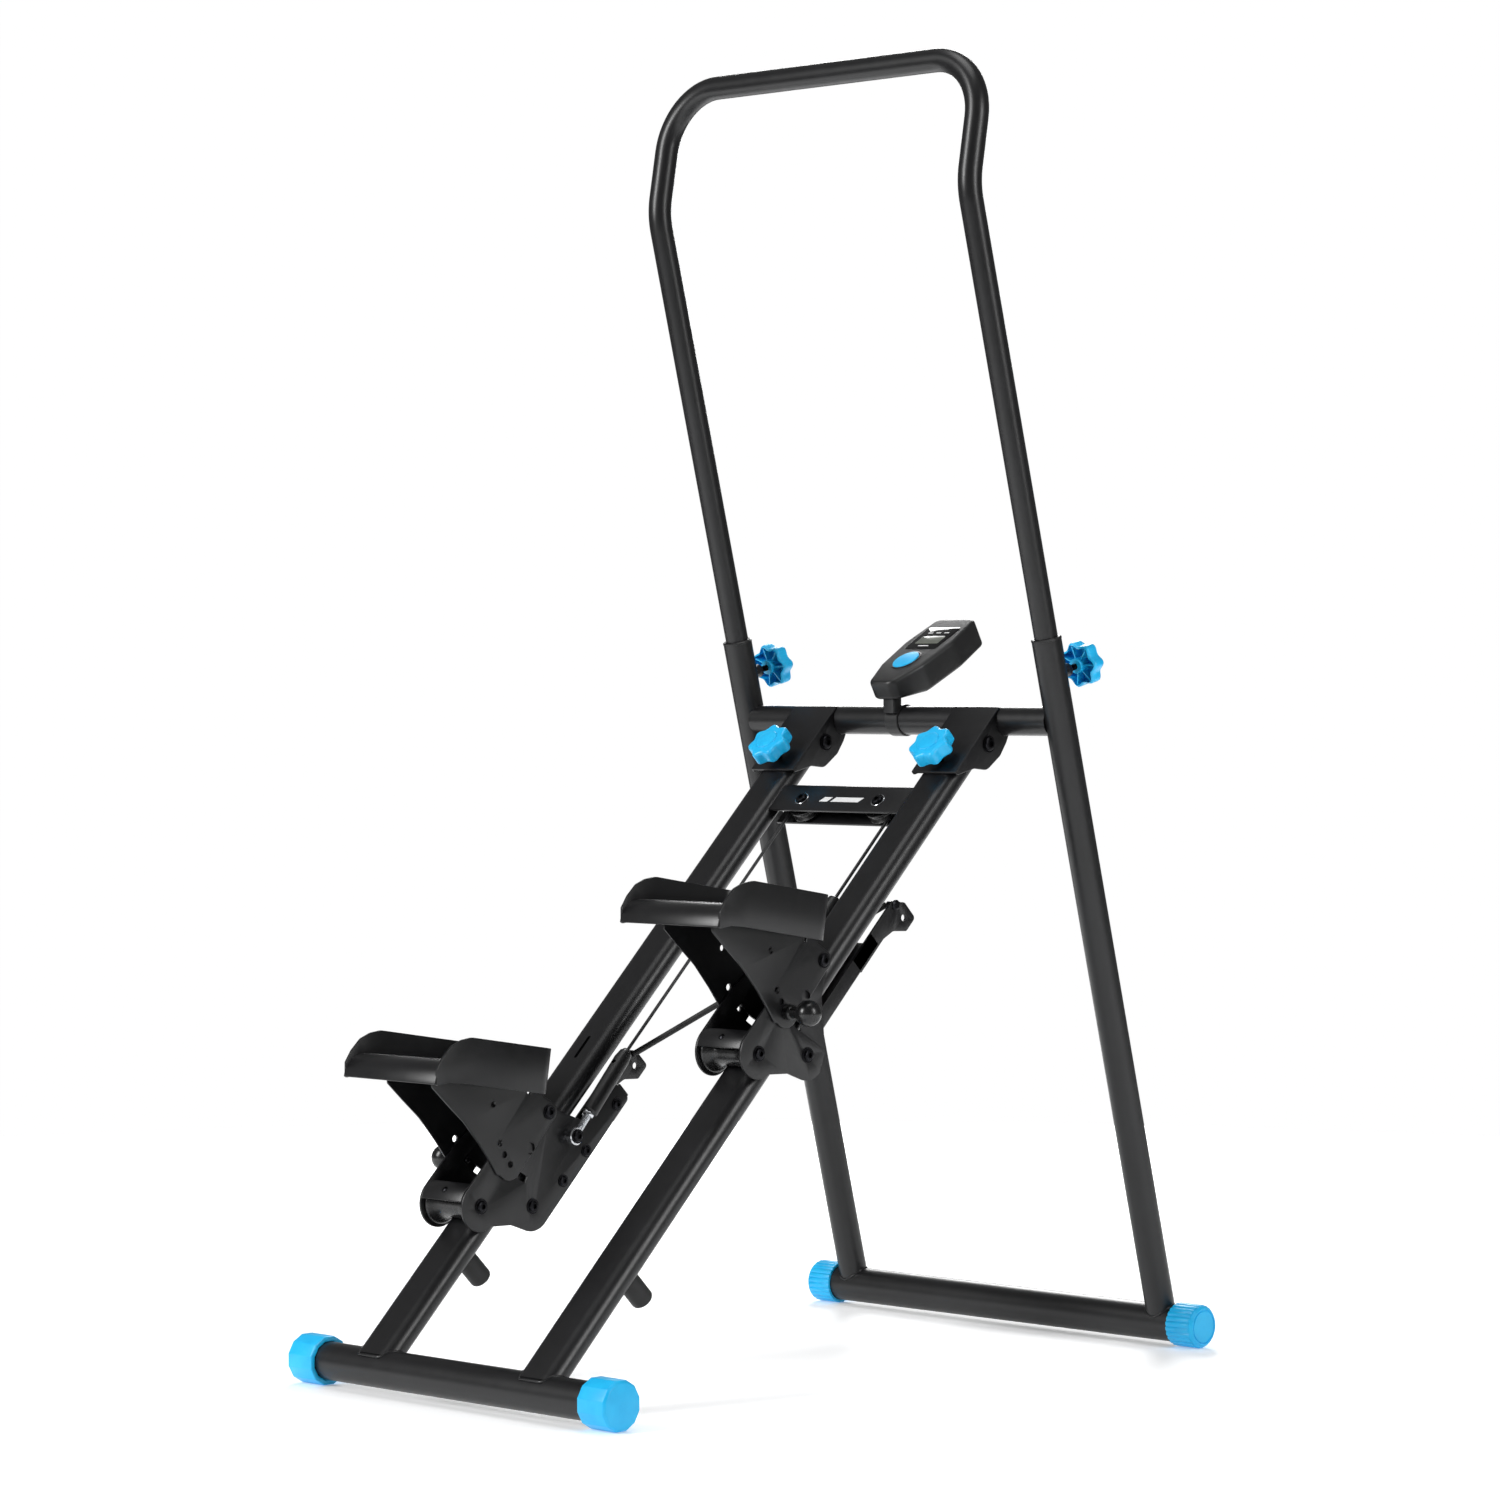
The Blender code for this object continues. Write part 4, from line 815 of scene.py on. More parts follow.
# %% Hinge brackets
EAR_IN, SHEET = 0.035, 0.003
PLATE_N = HALF_D + 0.001
ear = rounded([(0.048, PLATE_N + SHEET, 0.0), (-0.069, PLATE_N + SHEET, 0.0), (-0.069, 0.0135, 0.002),
               (-0.040, -0.004, 0.010), (-0.0245, -0.0225, 0.014), (0.0060, -0.0275, 0.014),
               (0.0260, -0.0240, 0.008), (0.048, -0.016, 0.003)])  # fmt: skip
cross_local = rail_at["left"].inverted() @ CROSS
for side, sign in SIDES:
    bracket = flat(f"{side}_hinge_sheet", [(-EAR_IN - SHEET, a, b) for a, b in ear])
    extrude(bracket, (2 * (EAR_IN + SHEET), 0, 0))
    soften(bracket, 0.0016, 3, 60)
    inside = flat("inside", [(-EAR_IN, a, b) for a, b in
                             ((-0.08, -0.05), (0.06, -0.05), (0.06, PLATE_N), (-0.08, PLATE_N))])
    cut(bracket, extrude(inside, (2 * EAR_IN, 0, 0)))
    notch = bar("notch", (-0.06, *cross_local.yz), (0.06, *cross_local.yz), CROSS_R + 0.0002, 64)
    stud = bar("stud", (0, -0.048, 0.01), (0, -0.048, 0.05), 0.0045, 24)
    cut(bracket, notch, stud)
    steel(bracket, rail_at[side], "upright_frame", f"{side}_hinge_bracket", smooth=28)
    reach = EAR_IN + SHEET + 0.0003
    bolt_node = f"{side}_hinge_bolt"
    through_bolt(f"{side}_hinge_screw", rail_at[side], reach, 0.0049, 0.0085, "upright_frame", bolt_node)

# %% [markdown]
# ## Pulley bridge
# A channel joins the rails near their top. Two bolts stand square through it and hold the grooved nylon
# pulleys. A bright washer sits under each bolt's head. In the place of any lettering the channel has one
# plain white stripe, cut in two.

# %% Pulley bridge and pulleys
GROOVE_R, FLANGE_R = 0.0193, 0.0225
CABLE_R = 0.0022
PULLEY_TURN = GROOVE_R + CABLE_R
pulley_at = {side: axes_at(spot(f"{side}_pulley_spin"), OUT, ACROSS, UP_RAIL) for side, _ in SIDES}
pulley_local = middle_at.inverted() @ spot("right_pulley_spin")
BRIDGE_HIGH = pulley_local.y + 0.0272
BRIDGE_LOW = BRIDGE_HIGH - 0.047
BRIDGE_FRONT, BRIDGE_BACK = 0.0075, -0.0195
BRIDGE_HALF = RAIL_X - HALF_W + 0.004
bridge = flat("bridge_channel", [(-BRIDGE_HALF, a, b) for a, b in rounded(
    [(BRIDGE_HIGH, BRIDGE_FRONT, 0.005), (BRIDGE_LOW, BRIDGE_FRONT, 0), (BRIDGE_LOW, BRIDGE_FRONT - SHEET, 0),
     (BRIDGE_HIGH - SHEET, BRIDGE_FRONT - SHEET, 0.002), (BRIDGE_HIGH - SHEET, SHEET + BRIDGE_BACK, 0.002),
     (BRIDGE_LOW, SHEET + BRIDGE_BACK, 0), (BRIDGE_LOW, BRIDGE_BACK, 0), (BRIDGE_HIGH, BRIDGE_BACK, 0.005)])])
steel(soften(extrude(bridge, (2 * BRIDGE_HALF, 0, 0)), 0.0005), middle_at, "rail_frame", "pulley_bridge")
for i, (start, end) in enumerate(((-0.034, -0.020), (-0.014, 0.034))):
    stripe = flat(f"bridge_stripe_{i}", [(x, pulley_local.y + y, BRIDGE_FRONT + 0.0001) for x, y in
                  ((start, -0.004), (end, -0.004), (end + 0.006, 0.004), (start + 0.006, 0.004))])
    settle(extrude(stripe, (0, 0, 0.0002)), middle_at, PRINT, "rail_frame", "black_powder_coat")


def washer(name, x, inner, outer):
    """A washer that faces +X, with a soft edge."""
    section = [(x, inner), (x, outer), (x + 0.0007, outer), (x + 0.001, outer - 0.0004), (x + 0.001, inner)]
    return turned(name, section, 40)


for side, sign in SIDES:
    reach = (BRIDGE_FRONT - BRIDGE_BACK) / 2 + 0.0003
    through_bolt(f"{side}_pulley_screw", pulley_at[side], reach, 0.0038, 0.0066, "rail_frame",
                 f"{side}_pulley_bolt", proud=0.0008)  # fmt: skip
    bright = washer(f"{side}_pulley_washer", reach, 0.0042, 0.0100)
    settle(bright, pulley_at[side], ZINC, "rail_frame", "black_oxide_bolts")
    section = [(-0.006, 0.0041), (-0.006, 0.0085), (-0.0042, 0.0095), (-0.0042, 0.0165), (-0.006, 0.0175)]
    section += [(-0.006, FLANGE_R - 0.0006), (-0.0052, FLANGE_R), (-0.0046, FLANGE_R)]
    section.append((-0.0022, GROOVE_R + 0.0006))
    section += [(-0.0012, GROOVE_R - 0.0002), (0, GROOVE_R - 0.0004), (0.0012, GROOVE_R - 0.0002)]
    section += [(-x, r) for x, r in reversed(section[:9])]
    body = f"{side}_pulley"
    settle(turned(f"{body}_wheel", section), pulley_at[side], NYLON, body, "black_plastic", body)

# %% [markdown]
# ## Carriage plates
# Both carriages are alike, mirrored across the rail. Each has two laser-cut side plates that hold a front
# and a rear roller between them. A plate is drawn as lobes round the two axles, a notch between them, and
# an edge up to the pedal's pivot. The inner plate runs on further to carry the cable's end fitting.

# %% Carriage plates
PLATE_IN = 0.036
PLATE_OUT = PLATE_IN + SHEET
BRACKET_IN = PLATE_OUT + 0.0003
BRACKET_OUT = BRACKET_IN + SHEET
LOBE_R = 0.031
CORE_R, RIM_R, ROLLER_HALF = 0.017, 0.0265, 0.0345
carriages = {side: carriage_at(side) for side, _ in SIDES}
front_axle = (carriages["left"].inverted() @ spot("left_front_roller_spin")).yz
rear_axle = (carriages["left"].inverted() @ spot("left_rear_roller_spin")).yz
pivot = (carriages["left"].inverted() @ spot("left_pedal_tilt")).yz
ARM_REAR = -0.062
PIN_RADIUS, PIN_ANGLE, PEDAL_TILT = 0.088, 178, 21
HOLE_R = 0.0043


def lobes(rear):
    """A plate's outline: front lobe, notch, rear lobe, then the rear edge up to the pivot's lobe."""
    corners = [(a, b, 0) for a, b in arc(front_axle, LOBE_R, 90, 258, 28)]
    corners.append((-0.011, -0.0225, 0.005))
    corners += [(a, b, 0) for a, b in arc(rear_axle, LOBE_R, 203, 268, 14)]
    corners += rear
    corners += [(a, b, 0) for a, b in arc(pivot, 0.015, -28, 70, 14)]
    corners.append((0.045, front_axle.y + LOBE_R, 0.02))
    return rounded(corners)


def pin_slot(x):
    """The curved slot for the pull pin, which turns about the pedal's pivot."""
    reach = math.degrees(HOLE_R / PIN_RADIUS)
    start, end = PIN_ANGLE - reach, PIN_ANGLE + PEDAL_TILT + reach
    edge = arc(pivot, PIN_RADIUS + HOLE_R, start, end, 20) + arc(pivot, PIN_RADIUS - HOLE_R, end, start, 20)
    slot = flat("slot", [(x - 0.01, a, b) for a, b in edge])
    return extrude(slot, (0.02, 0, 0))


INNER = [(0.232, ARM_REAR, 0.006), (0.232, -0.034, 0.006), (0.160, -0.024, 0.012), (0.146, 0.006, 0.008)]
OUTER = [(0.052, -0.052, 0.014), (0.095, 0.000, 0.018)]
for side, sign in SIDES:
    inward = -sign
    body = f"{side}_carriage"
    for kind, face, rear in (("inner", inward, INNER), ("outer", -inward, OUTER)):
        low, high = sorted((face * PLATE_IN, face * PLATE_OUT))
        sheet = plate(f"{side}_{kind}_sheet", lobes(rear), low, high, 0)
        cut(sheet, pin_slot(face * PLATE_IN))
        drill(sheet, [front_axle, rear_axle, pivot], HOLE_R)
        steel(soften(sheet, 0.0005), carriages[side], body, f"{side}_{kind}_plate")

# %% [markdown]
# ## Rollers and their guard
# The rollers are hourglass shaped: a core that rolls on the rail's flat face, and cheeks that wrap its round
# edges and keep the carriage on track. A steel bearing ring is pressed into each end. A curved guard with a
# rivet covers the front roller, to keep fingers out.

# %% Rollers
EDGE_X, EDGE_R = 0.015, 0.0157
half = [(0, CORE_R), (0.012, CORE_R)]
for angle in range(10, 60, 8):
    a = math.radians(angle)
    half.append((EDGE_X + EDGE_R * math.sin(a), front_axle.y - EDGE_R * math.cos(a)))
half += [(0.0300, RIM_R - 0.0004), (0.0310, RIM_R), (ROLLER_HALF - 0.0014, RIM_R)]
half += [(ROLLER_HALF, RIM_R - 0.0014), (ROLLER_HALF, 0.0150), (ROLLER_HALF - 0.0025, 0.0145)]
half.append((ROLLER_HALF - 0.0025, HOLE_R))
roller_section = [(-x, r) for x, r in reversed(half)] + half[1:]
for side, sign in SIDES:
    for kind in ("front", "rear"):
        body = f"{side}_{kind}_roller"
        roller_at = axes_at(spot(body + "_spin"), ACROSS, UP_RAIL, OUT)
        settle(turned(f"{body}_wheel", roller_section, 64), roller_at, NYLON, body, "black_plastic", body)
        for end in (-1, 1):
            x = end * (ROLLER_HALF - 0.0004)
            ring = [(x, 0.0068), (x, 0.0128), (x - end * 0.0018, 0.0134), (x - end * 0.0018, 0.0062)]
            settle(turned(f"{body}_bearing_{'lr'[end > 0]}", ring), roller_at, ZINC, body, "black_plastic")

# %% Roller guard
for side, sign in SIDES:
    curve = arc(front_axle, RIM_R + 0.0030, 70, 122, 20) + arc(front_axle, RIM_R + 0.0050, 122, 70, 20)
    guard = plate(f"{side}_guard_sheet", curve, -PLATE_IN + 0.0003, PLATE_IN - 0.0003, 0.0005)
    steel(guard, carriages[side], f"{side}_carriage", f"{side}_roller_guard", smooth=40)
    a = math.radians(96)
    out = Vector((0, math.cos(a), math.sin(a)))
    section = [(0, 0), (0, 0.0042), (0.0009, 0.0040), (0.0018, 0.0026), (0.0021, 0)]
    rivet_at = axes_at(Vector((0, *front_axle)) + out * (RIM_R + 0.0049), out, ACROSS, out.cross(ACROSS))
    fastener(turned(f"{side}_guard_rivet", section, 24), carriages[side] @ rivet_at, f"{side}_carriage")

# %% Axles and pedal pivot bolts
AXLE_R, AXLE_HEAD_R = 0.0039, 0.0072
for side, sign in SIDES:
    body = f"{side}_carriage"
    for kind, at in (("front", front_axle), ("rear", rear_axle)):
        axle_at = carriages[side] @ Matrix.Translation((0, *at))
        reach = PLATE_OUT + 0.0003
        axle = f"{side}_{kind}_axle"
        through_bolt(axle + "_bolt", axle_at, reach, AXLE_R, AXLE_HEAD_R, body, axle)
        fastener(washer(axle + "_washer", reach - 0.0002, 0.0075, 0.0096), axle_at, body)
    pivot_at = carriages[side] @ Matrix.Translation((0, *pivot))
    reach = BRACKET_OUT + 0.0003
    pedal_pivot = f"{side}_pedal_pivot"
    through_bolt(pedal_pivot, pivot_at, reach, AXLE_R, AXLE_HEAD_R, body, pedal_pivot + "_bolt")

# %% [markdown]
# ## Carriage arms
# A folded channel is bolted beside each inner plate, behind the rail. One wall runs on as a flared tab with
# two holes. A rivet through the lower hole holds the end of the elastic cord.

# %% Carriage arms
CORD_AT = Vector((0.292, -0.048))
ARM_BOLTS = ((0.084, -0.049), (0.136, -0.0526), (0.212, -0.051))
TAB = rounded([(0.190, ARM_REAR, 0), (0.247, ARM_REAR, 0.010), (0.266, -0.068, 0.010), (0.283, -0.086, 0.005),
               (0.306, -0.086, 0.005), (0.306, -0.058, 0.005), (0.292, -0.040, 0.006), (0.190, -0.040, 0)])
for side, sign in SIDES:
    inward = -sign
    near, far = inward * (PLATE_IN - 0.0003), -inward * 0.002
    wall = inward * SHEET
    channel = [(near, -0.040), (near, ARM_REAR), (far, ARM_REAR), (far, -0.040), (far + wall, -0.040),
               (far + wall, ARM_REAR + SHEET), (near - wall, ARM_REAR + SHEET), (near - wall, -0.040)]
    corner = (0, 0.003, 0.003, 0, 0, 0.001, 0.001, 0)
    section = rounded([(x, n, r) for (x, n), r in zip(channel, corner)])
    arm = flat(f"{side}_arm_channel", [(x, 0.062, n) for x, n in section])
    extrude(arm, (0, 0.174, 0))
    low, high = sorted((far, far + wall))
    tab = plate("tab", TAB, low, high, 0)
    drill(tab, [(0.291, -0.070), CORD_AT], 0.0042)
    steel(soften(join(arm, tab), 0.0005), carriages[side], f"{side}_carriage", f"{side}_arm")
    direction = ACROSS * inward
    rivet = [(-0.0045, 0), (-0.0045, 0.0042), (-0.0030, 0.0068), (-0.0020, 0.0070), (-0.0020, 0.0040),
             (0.0009, 0.0040), (0.0009, 0.0050), (0.0105, 0.0046), (0.0115, 0.0036), (0.0115, 0)]
    along = Vector((0, 1, 0))
    rivet_at = axes_at(Vector((0, *CORD_AT)), direction, along, direction.cross(along))
    fastener(turned(f"{side}_cord_rivet", rivet, 32), carriages[side] @ rivet_at, f"{side}_carriage")
    turn = Matrix.Rotation(0 if inward > 0 else math.pi, 4, "Z")
    for i, at in enumerate(ARM_BOLTS):
        bolt_at = carriages[side] @ Matrix.Translation((inward * (PLATE_OUT + 0.0001), *at)) @ turn
        fastener(bolt(f"{side}_arm_bolt_{i}", 0.0062, -0.010, 0, 0.003), bolt_at, f"{side}_carriage")

# %% [markdown]
# ## Cable end fittings
# An eye bolt pivots on each inner plate. Its bright threaded rod screws into a black sleeve that is crimped
# on the cable, so the cable's length can be trimmed.

# %% Cable end fittings
CABLE_IN = RAIL_X - (pulley_local.x + PULLEY_TURN)
EYE = Vector((0.128, -0.014))
ROD_TOP = Vector((0.262, pulley_local.z))
SLEEVE_START = 0.037
EYE_R, ROD_R, SLEEVE_SHELL_R, THREADS = 0.0110, 0.0048, 0.0100, 22
for side, sign in SIDES:
    inward = -sign
    x = inward * CABLE_IN
    way = Vector((0, *(ROD_TOP - EYE)))
    length = way.length
    way.normalize()
    rod_at = carriages[side] @ axes_at(Vector((x, *EYE)), way, ACROSS, way.cross(ACROSS))
    thread = [(EYE_R - 0.002, 0), (EYE_R - 0.002, ROD_R - 0.0006)]
    for i in range(THREADS):
        start = EYE_R - 0.001 + i * PITCH_M8
        thread += [(start, ROD_R - 0.0006), (start + 0.0005, ROD_R), (start + 0.0008, ROD_R)]
    thread += [(SLEEVE_START + 0.002, ROD_R - 0.0006), (SLEEVE_START + 0.002, 0)]
    eye = turned(f"{side}_eye_rod", thread, 24)
    ring = turned("ring", [(-0.0045, 0.0036), (-0.0045, EYE_R - 0.0012), (-0.0033, EYE_R), (0.0033, EYE_R),
                           (0.0045, EYE_R - 0.0012), (0.0045, 0.0036)], 40)  # fmt: skip
    ring.matrix_world = Matrix.Rotation(math.pi / 2, 4, "Z")
    only(ring)
    bpy.ops.object.transform_apply(location=True, rotation=True, scale=True)
    lock = soften(bar("lock", (SLEEVE_START - 0.006, 0, 0), (SLEEVE_START - 0.0002, 0, 0), 0.0075, 6), 0.0005)
    body = f"{side}_carriage"
    settle(join(eye, ring, lock), rod_at, ZINC, body, "plated_steel", f"{side}_cable_tensioner")
    screw = bolt(f"{side}_eye_screw", 0.0070, PLATE_OUT - CABLE_IN - 0.0085, 0.0047, 0.0033)
    turn = Matrix.Rotation(0 if inward > 0 else math.pi, 4, "Z")
    fastener(screw, carriages[side] @ Matrix.Translation((x, *EYE)) @ turn, body)
    near, far = PLATE_OUT + 0.0003, CABLE_IN - 0.0046
    spacer = turned(f"{side}_eye_spacer", [(near, 0.0034), (near, 0.0060), (far, 0.0060), (far, 0.0034)], 32)
    settle(spacer, carriages[side] @ Matrix.Translation((0, *EYE)) @ turn, ZINC, body, "plated_steel")
    sleeve = [(SLEEVE_START, 0), (SLEEVE_START, 0.0088), (SLEEVE_START + 0.0015, SLEEVE_SHELL_R),
              (length - 0.014, SLEEVE_SHELL_R), (length - 0.003, 0.0080), (length, 0.0050), (length, 0)]
    tube = turned(f"{side}_crimp_sleeve", sleeve, 40)
    window = bar("window", (length - 0.024, 0, -0.02), (length - 0.024, 0, 0.02), 0.0032, 24)
    settle(cut(tube, window), rod_at, ABS, body, "black_plastic")

# %% [markdown]
# ## Cable and elastic cord
# The cable goes from one carriage over both pulleys to the other. Its part over the pulleys stays in the
# rail frame. Each straight span has many rings along it. The elastic cord is made in two halves that meet at
# its fixed middle.

# %% Cable and cord


def line(name, points, radius, capped=True, sides=12):
    """A round cord through points, as a mesh."""
    curve = bpy.data.curves.new(name, "CURVE")
    curve.dimensions = "3D"
    curve.bevel_depth = radius
    curve.bevel_resolution = sides // 4
    curve.use_fill_caps = capped
    spline = curve.splines.new("POLY")
    spline.points.add(len(points) - 1)
    for point, target in zip(points, spline.points):
        target.co = (*point, 1)
    piece = bpy.data.objects.new(name, curve)
    bpy.context.scene.collection.objects.link(piece)
    only(piece)
    bpy.ops.object.convert(target="MESH")
    return bpy.context.object


def spans(start, end, count):
    return [start + (end - start) * i / count for i in range(count + 1)]


px, py, pn = pulley_local
over = arc((-px, py), PULLEY_TURN, 180, 90, 20) + arc((px, py), PULLEY_TURN, 90, 0, 20)
cable = line("cable_on_pulleys", [(a, b, pn) for a, b in over], CABLE_R)
settle(cable, middle_at, SHEATH, "rail_frame", "coated_cable", "cable_over_pulleys", smooth=60)


def stretchy(name, ends, radius, lengths, steps, finish, moving, material_slot, *nodes):
    """A straight cord from the rail frame to a moving carriage, built in many lengths. Each uses its own part
    of an ease in and out, and their ends stay on the straight line."""
    start, end = ends
    pieces = []
    for i in range(lengths):
        low, high = i / lengths, (i + 1) / lengths
        near, far = (start.lerp(end, u * u * (3 - 2 * u)) for u in (low, high))
        piece = line(f"{name}_{i}", spans(near, far, steps), radius, capped=False)
        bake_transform(piece)
        pieces.append(piece)
    cord = join(*pieces)
    cord.name = cord.data.name = name
    edit(
        cord,
        (bpy.ops.mesh.remove_doubles, {"threshold": 1e-5}),
        (bpy.ops.mesh.fill_holes, {"sides": 0}),
        (bpy.ops.mesh.normals_make_consistent, {"inside": False}),
    )
    bpy.ops.object.shade_smooth_by_angle(angle=math.radians(60))
    cord.data.materials.clear()
    cord.data.materials.append(finish)
    if nodes:
        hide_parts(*nodes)


CORD_R, CORD_LENGTHS = 0.004, 10
for side, sign in SIDES:
    start = middle_at @ Vector((sign * (px + PULLEY_TURN), py, pn))
    end = carriages[side] @ Vector((-sign * CABLE_IN, ROD_TOP.x - 0.002, ROD_TOP.y))
    stretchy(f"{side}_cable_span", (start, end), CABLE_R, 1, 60, SHEATH, f"{side}_carriage", "coated_cable",
             f"{side}_cable")  # fmt: skip
cord_end = {side: carriages[side] @ Vector((-sign * 0.0135, *CORD_AT)) for side, sign in SIDES}
cord_middle = (cord_end["left"] + cord_end["right"]) / 2
for side, sign in SIDES:
    nodes = ["resistance_cord"] if side == "left" else []
    stretchy(f"{side}_cord_half", (cord_middle, cord_end[side]), CORD_R, CORD_LENGTHS, 6, RUBBER,
             f"{side}_carriage", "black_rubber", *nodes)  # fmt: skip

# %% [markdown]
# ## Pedals
# The pedal is a pressed steel tray. Its tread is one sheet that rolls down into a lip at the heel, and two
# side guards meet round the toe. The guard is drawn in plan, raised, and trimmed to its side view by an
# intersection. Two staggered rows of pressed dimples on the lip keep a shoe from sliding off.

# %% Pedals
HALF_PEDAL, TOE, HEEL_ROLL = 0.084, -0.0355, 0.030
TREAD_Z, TOE_R = 0.046, 0.022
ROLL_AT = (-0.200, TREAD_Z - HEEL_ROLL)
PITCH = math.radians(-9)
GUARD_SIDE = rounded([(-0.2300, 0.0321, 0.003), (-0.2227, 0.0473, 0.01), (-0.2106, 0.0628, 0.012),
                      (-0.1956, 0.0715, 0.02), (-0.1790, 0.0763, 0.02), (-0.0340, 0.0763, 0),
                      (-0.0340, 0.0266, 0.0), (-0.0447, 0.0203, 0.004), (-0.1827, 0.0203, 0.02),
                      (-0.207, 0.0189, 0.01), (-0.2271, 0.0133, 0.002)], 5)  # fmt: skip
pedals = {}
for side, _ in SIDES:
    turn = Matrix.Rotation(PITCH, 4, "X")
    pedals[side] = Matrix.Translation(spot(f"{side}_pedal_tilt")) @ turn


def wall_plan(half, toe, corner):
    right = arc((half - corner, toe - corner), corner, 0, 90, 14)
    left = arc((corner - half, toe - corner), corner, 90, 180, 14)
    return [(half, -0.235), *right, *left, (-half, -0.235)]


def tray(name):
    under = HEEL_ROLL - SHEET
    section = [(TOE - SHEET / 2, TREAD_Z)] + arc(ROLL_AT, HEEL_ROLL, 90, 183, 26)
    section += arc(ROLL_AT, under, 183, 90, 26) + [(TOE - SHEET / 2, TREAD_Z - SHEET)]
    inset = HALF_PEDAL - SHEET / 2
    tread = plate(name, section, -inset, inset, 0)
    corner = flat("corner", [(x, y, 0) for x, y in wall_plan(inset, TOE - SHEET / 2, TOE_R - SHEET / 2)])
    extrude(corner, (0, 0, 0.1))
    cut(tread, corner, operation="INTERSECT")
    soften(tread, 0.0006)
    outer = wall_plan(HALF_PEDAL, TOE, TOE_R)
    inner = wall_plan(HALF_PEDAL - SHEET, TOE - SHEET, TOE_R - SHEET)
    wall = flat("wall", [(x, y, 0.005) for x, y in outer + inner[::-1]])
    extrude(wall, (0, 0, 0.09))
    trim = flat("trim", [(-0.1, a, b) for a, b in GUARD_SIDE])
    cut(wall, extrude(trim, (0.2, 0, 0)), operation="INTERSECT")
    return join(tread, soften(wall, 0.0007))


DIMPLES, DIMPLE_STEP, DIMPLE_R = 26, 0.006, 0.0015


def dimple_row(name, y, shift):
    """A row of small round dimples on the roll of the lip."""
    lean = math.asin((ROLL_AT[0] - y) / HEEL_ROLL)
    z = ROLL_AT[1] + HEEL_ROLL * math.cos(lean)
    start = -(DIMPLES - 1) * DIMPLE_STEP / 2 + shift
    bpy.ops.object.select_all(action="DESELECT")
    place = (start, y, z - 0.0003)
    bpy.ops.mesh.primitive_uv_sphere_add(segments=16, ring_count=8, radius=DIMPLE_R, location=place)
    row = added(name)
    row.scale = (1, 1, 0.75)
    bpy.ops.object.transform_apply(location=True, rotation=True, scale=True)
    offset = (DIMPLE_STEP, 0, 0)
    return modify(row, "ARRAY", count=DIMPLES, use_relative_offset=False, use_constant_offset=True,
                  constant_offset_displace=offset)  # fmt: skip


for side, sign in SIDES:
    body = f"{side}_pedal"
    steel(tray(f"{side}_pedal_tray"), pedals[side], body, f"{side}_pedal", smooth=35)
    rows = join(dimple_row(f"{side}_dimples", -0.2065, 0), dimple_row("row", -0.2000, DIMPLE_STEP / 2))
    steel(rows, pedals[side], body, smooth=60)

# %% [markdown]
# ## Pedal brackets and pull pins
# Under each tray hangs a folded bracket whose side plates straddle the carriage. Their heel edge is concave,
# and they end in a lobe with the pin's holes. The pull pin goes through one of three holes on an arc about
# the pivot, so the tread can be set at three angles. Its grip is a black ball on a neck.

# %% Pedal brackets
WEB_TOP = TREAD_Z - SHEET - 0.0003
BRACKET = [(TOE - 0.004, WEB_TOP, 0), (-0.200, WEB_TOP, 0), (-0.196, 0.012, 0.004), (-0.167, -0.007, 0.06),
           (-0.138, -0.025, 0.08), (-0.108, -0.050, 0.08), (-0.088, -0.069, 0.03), (-0.0745, -0.0835, 0.006)]
BRACKET += [(a, b, 0) for a, b in arc((-0.0546, -0.0691), 0.020, 228, 325, 14)]
BRACKET += [(a, b, 0) for a, b in arc((0, 0), 0.014, -55, 60, 14)]
BRACKET += [(-0.012, 0.0193, 0.003), (-0.020, 0.030, 0.004), (TOE + 0.001, 0.030, 0.002)]
BRACKET += [(TOE + 0.001, 0.0193, 0), (TOE - 0.004, 0.0193, 0.002)]
turn_back = math.degrees(math.asin(UP_RAIL.z)) - math.degrees(PITCH)
HOLES = [((0, 0), HOLE_R), ((-0.0243, -0.0467), 0.0075), ((-0.0942, 0.001), 0.0040)]
for i in range(3):
    a = math.radians(PIN_ANGLE - i * PEDAL_TILT / 2 + turn_back)
    HOLES.append(((PIN_RADIUS * math.cos(a), PIN_RADIUS * math.sin(a)), HOLE_R))
for side, sign in SIDES:
    shape = plate(f"{side}_bracket_sheet", rounded(BRACKET), -BRACKET_OUT, BRACKET_OUT, 0)
    soften(shape, 0.0016, 3, 60)
    inside = [(-0.26, WEB_TOP - SHEET), (-0.26, -0.12), (0.05, -0.12), (0.05, WEB_TOP - SHEET)]
    cut(shape, plate("inside", inside, -BRACKET_IN, BRACKET_IN, 0))
    for at, radius in HOLES:
        drill(shape, [at], radius)
    steel(shape, pedals[side], f"{side}_pedal", f"{side}_pedal_bracket", smooth=35)

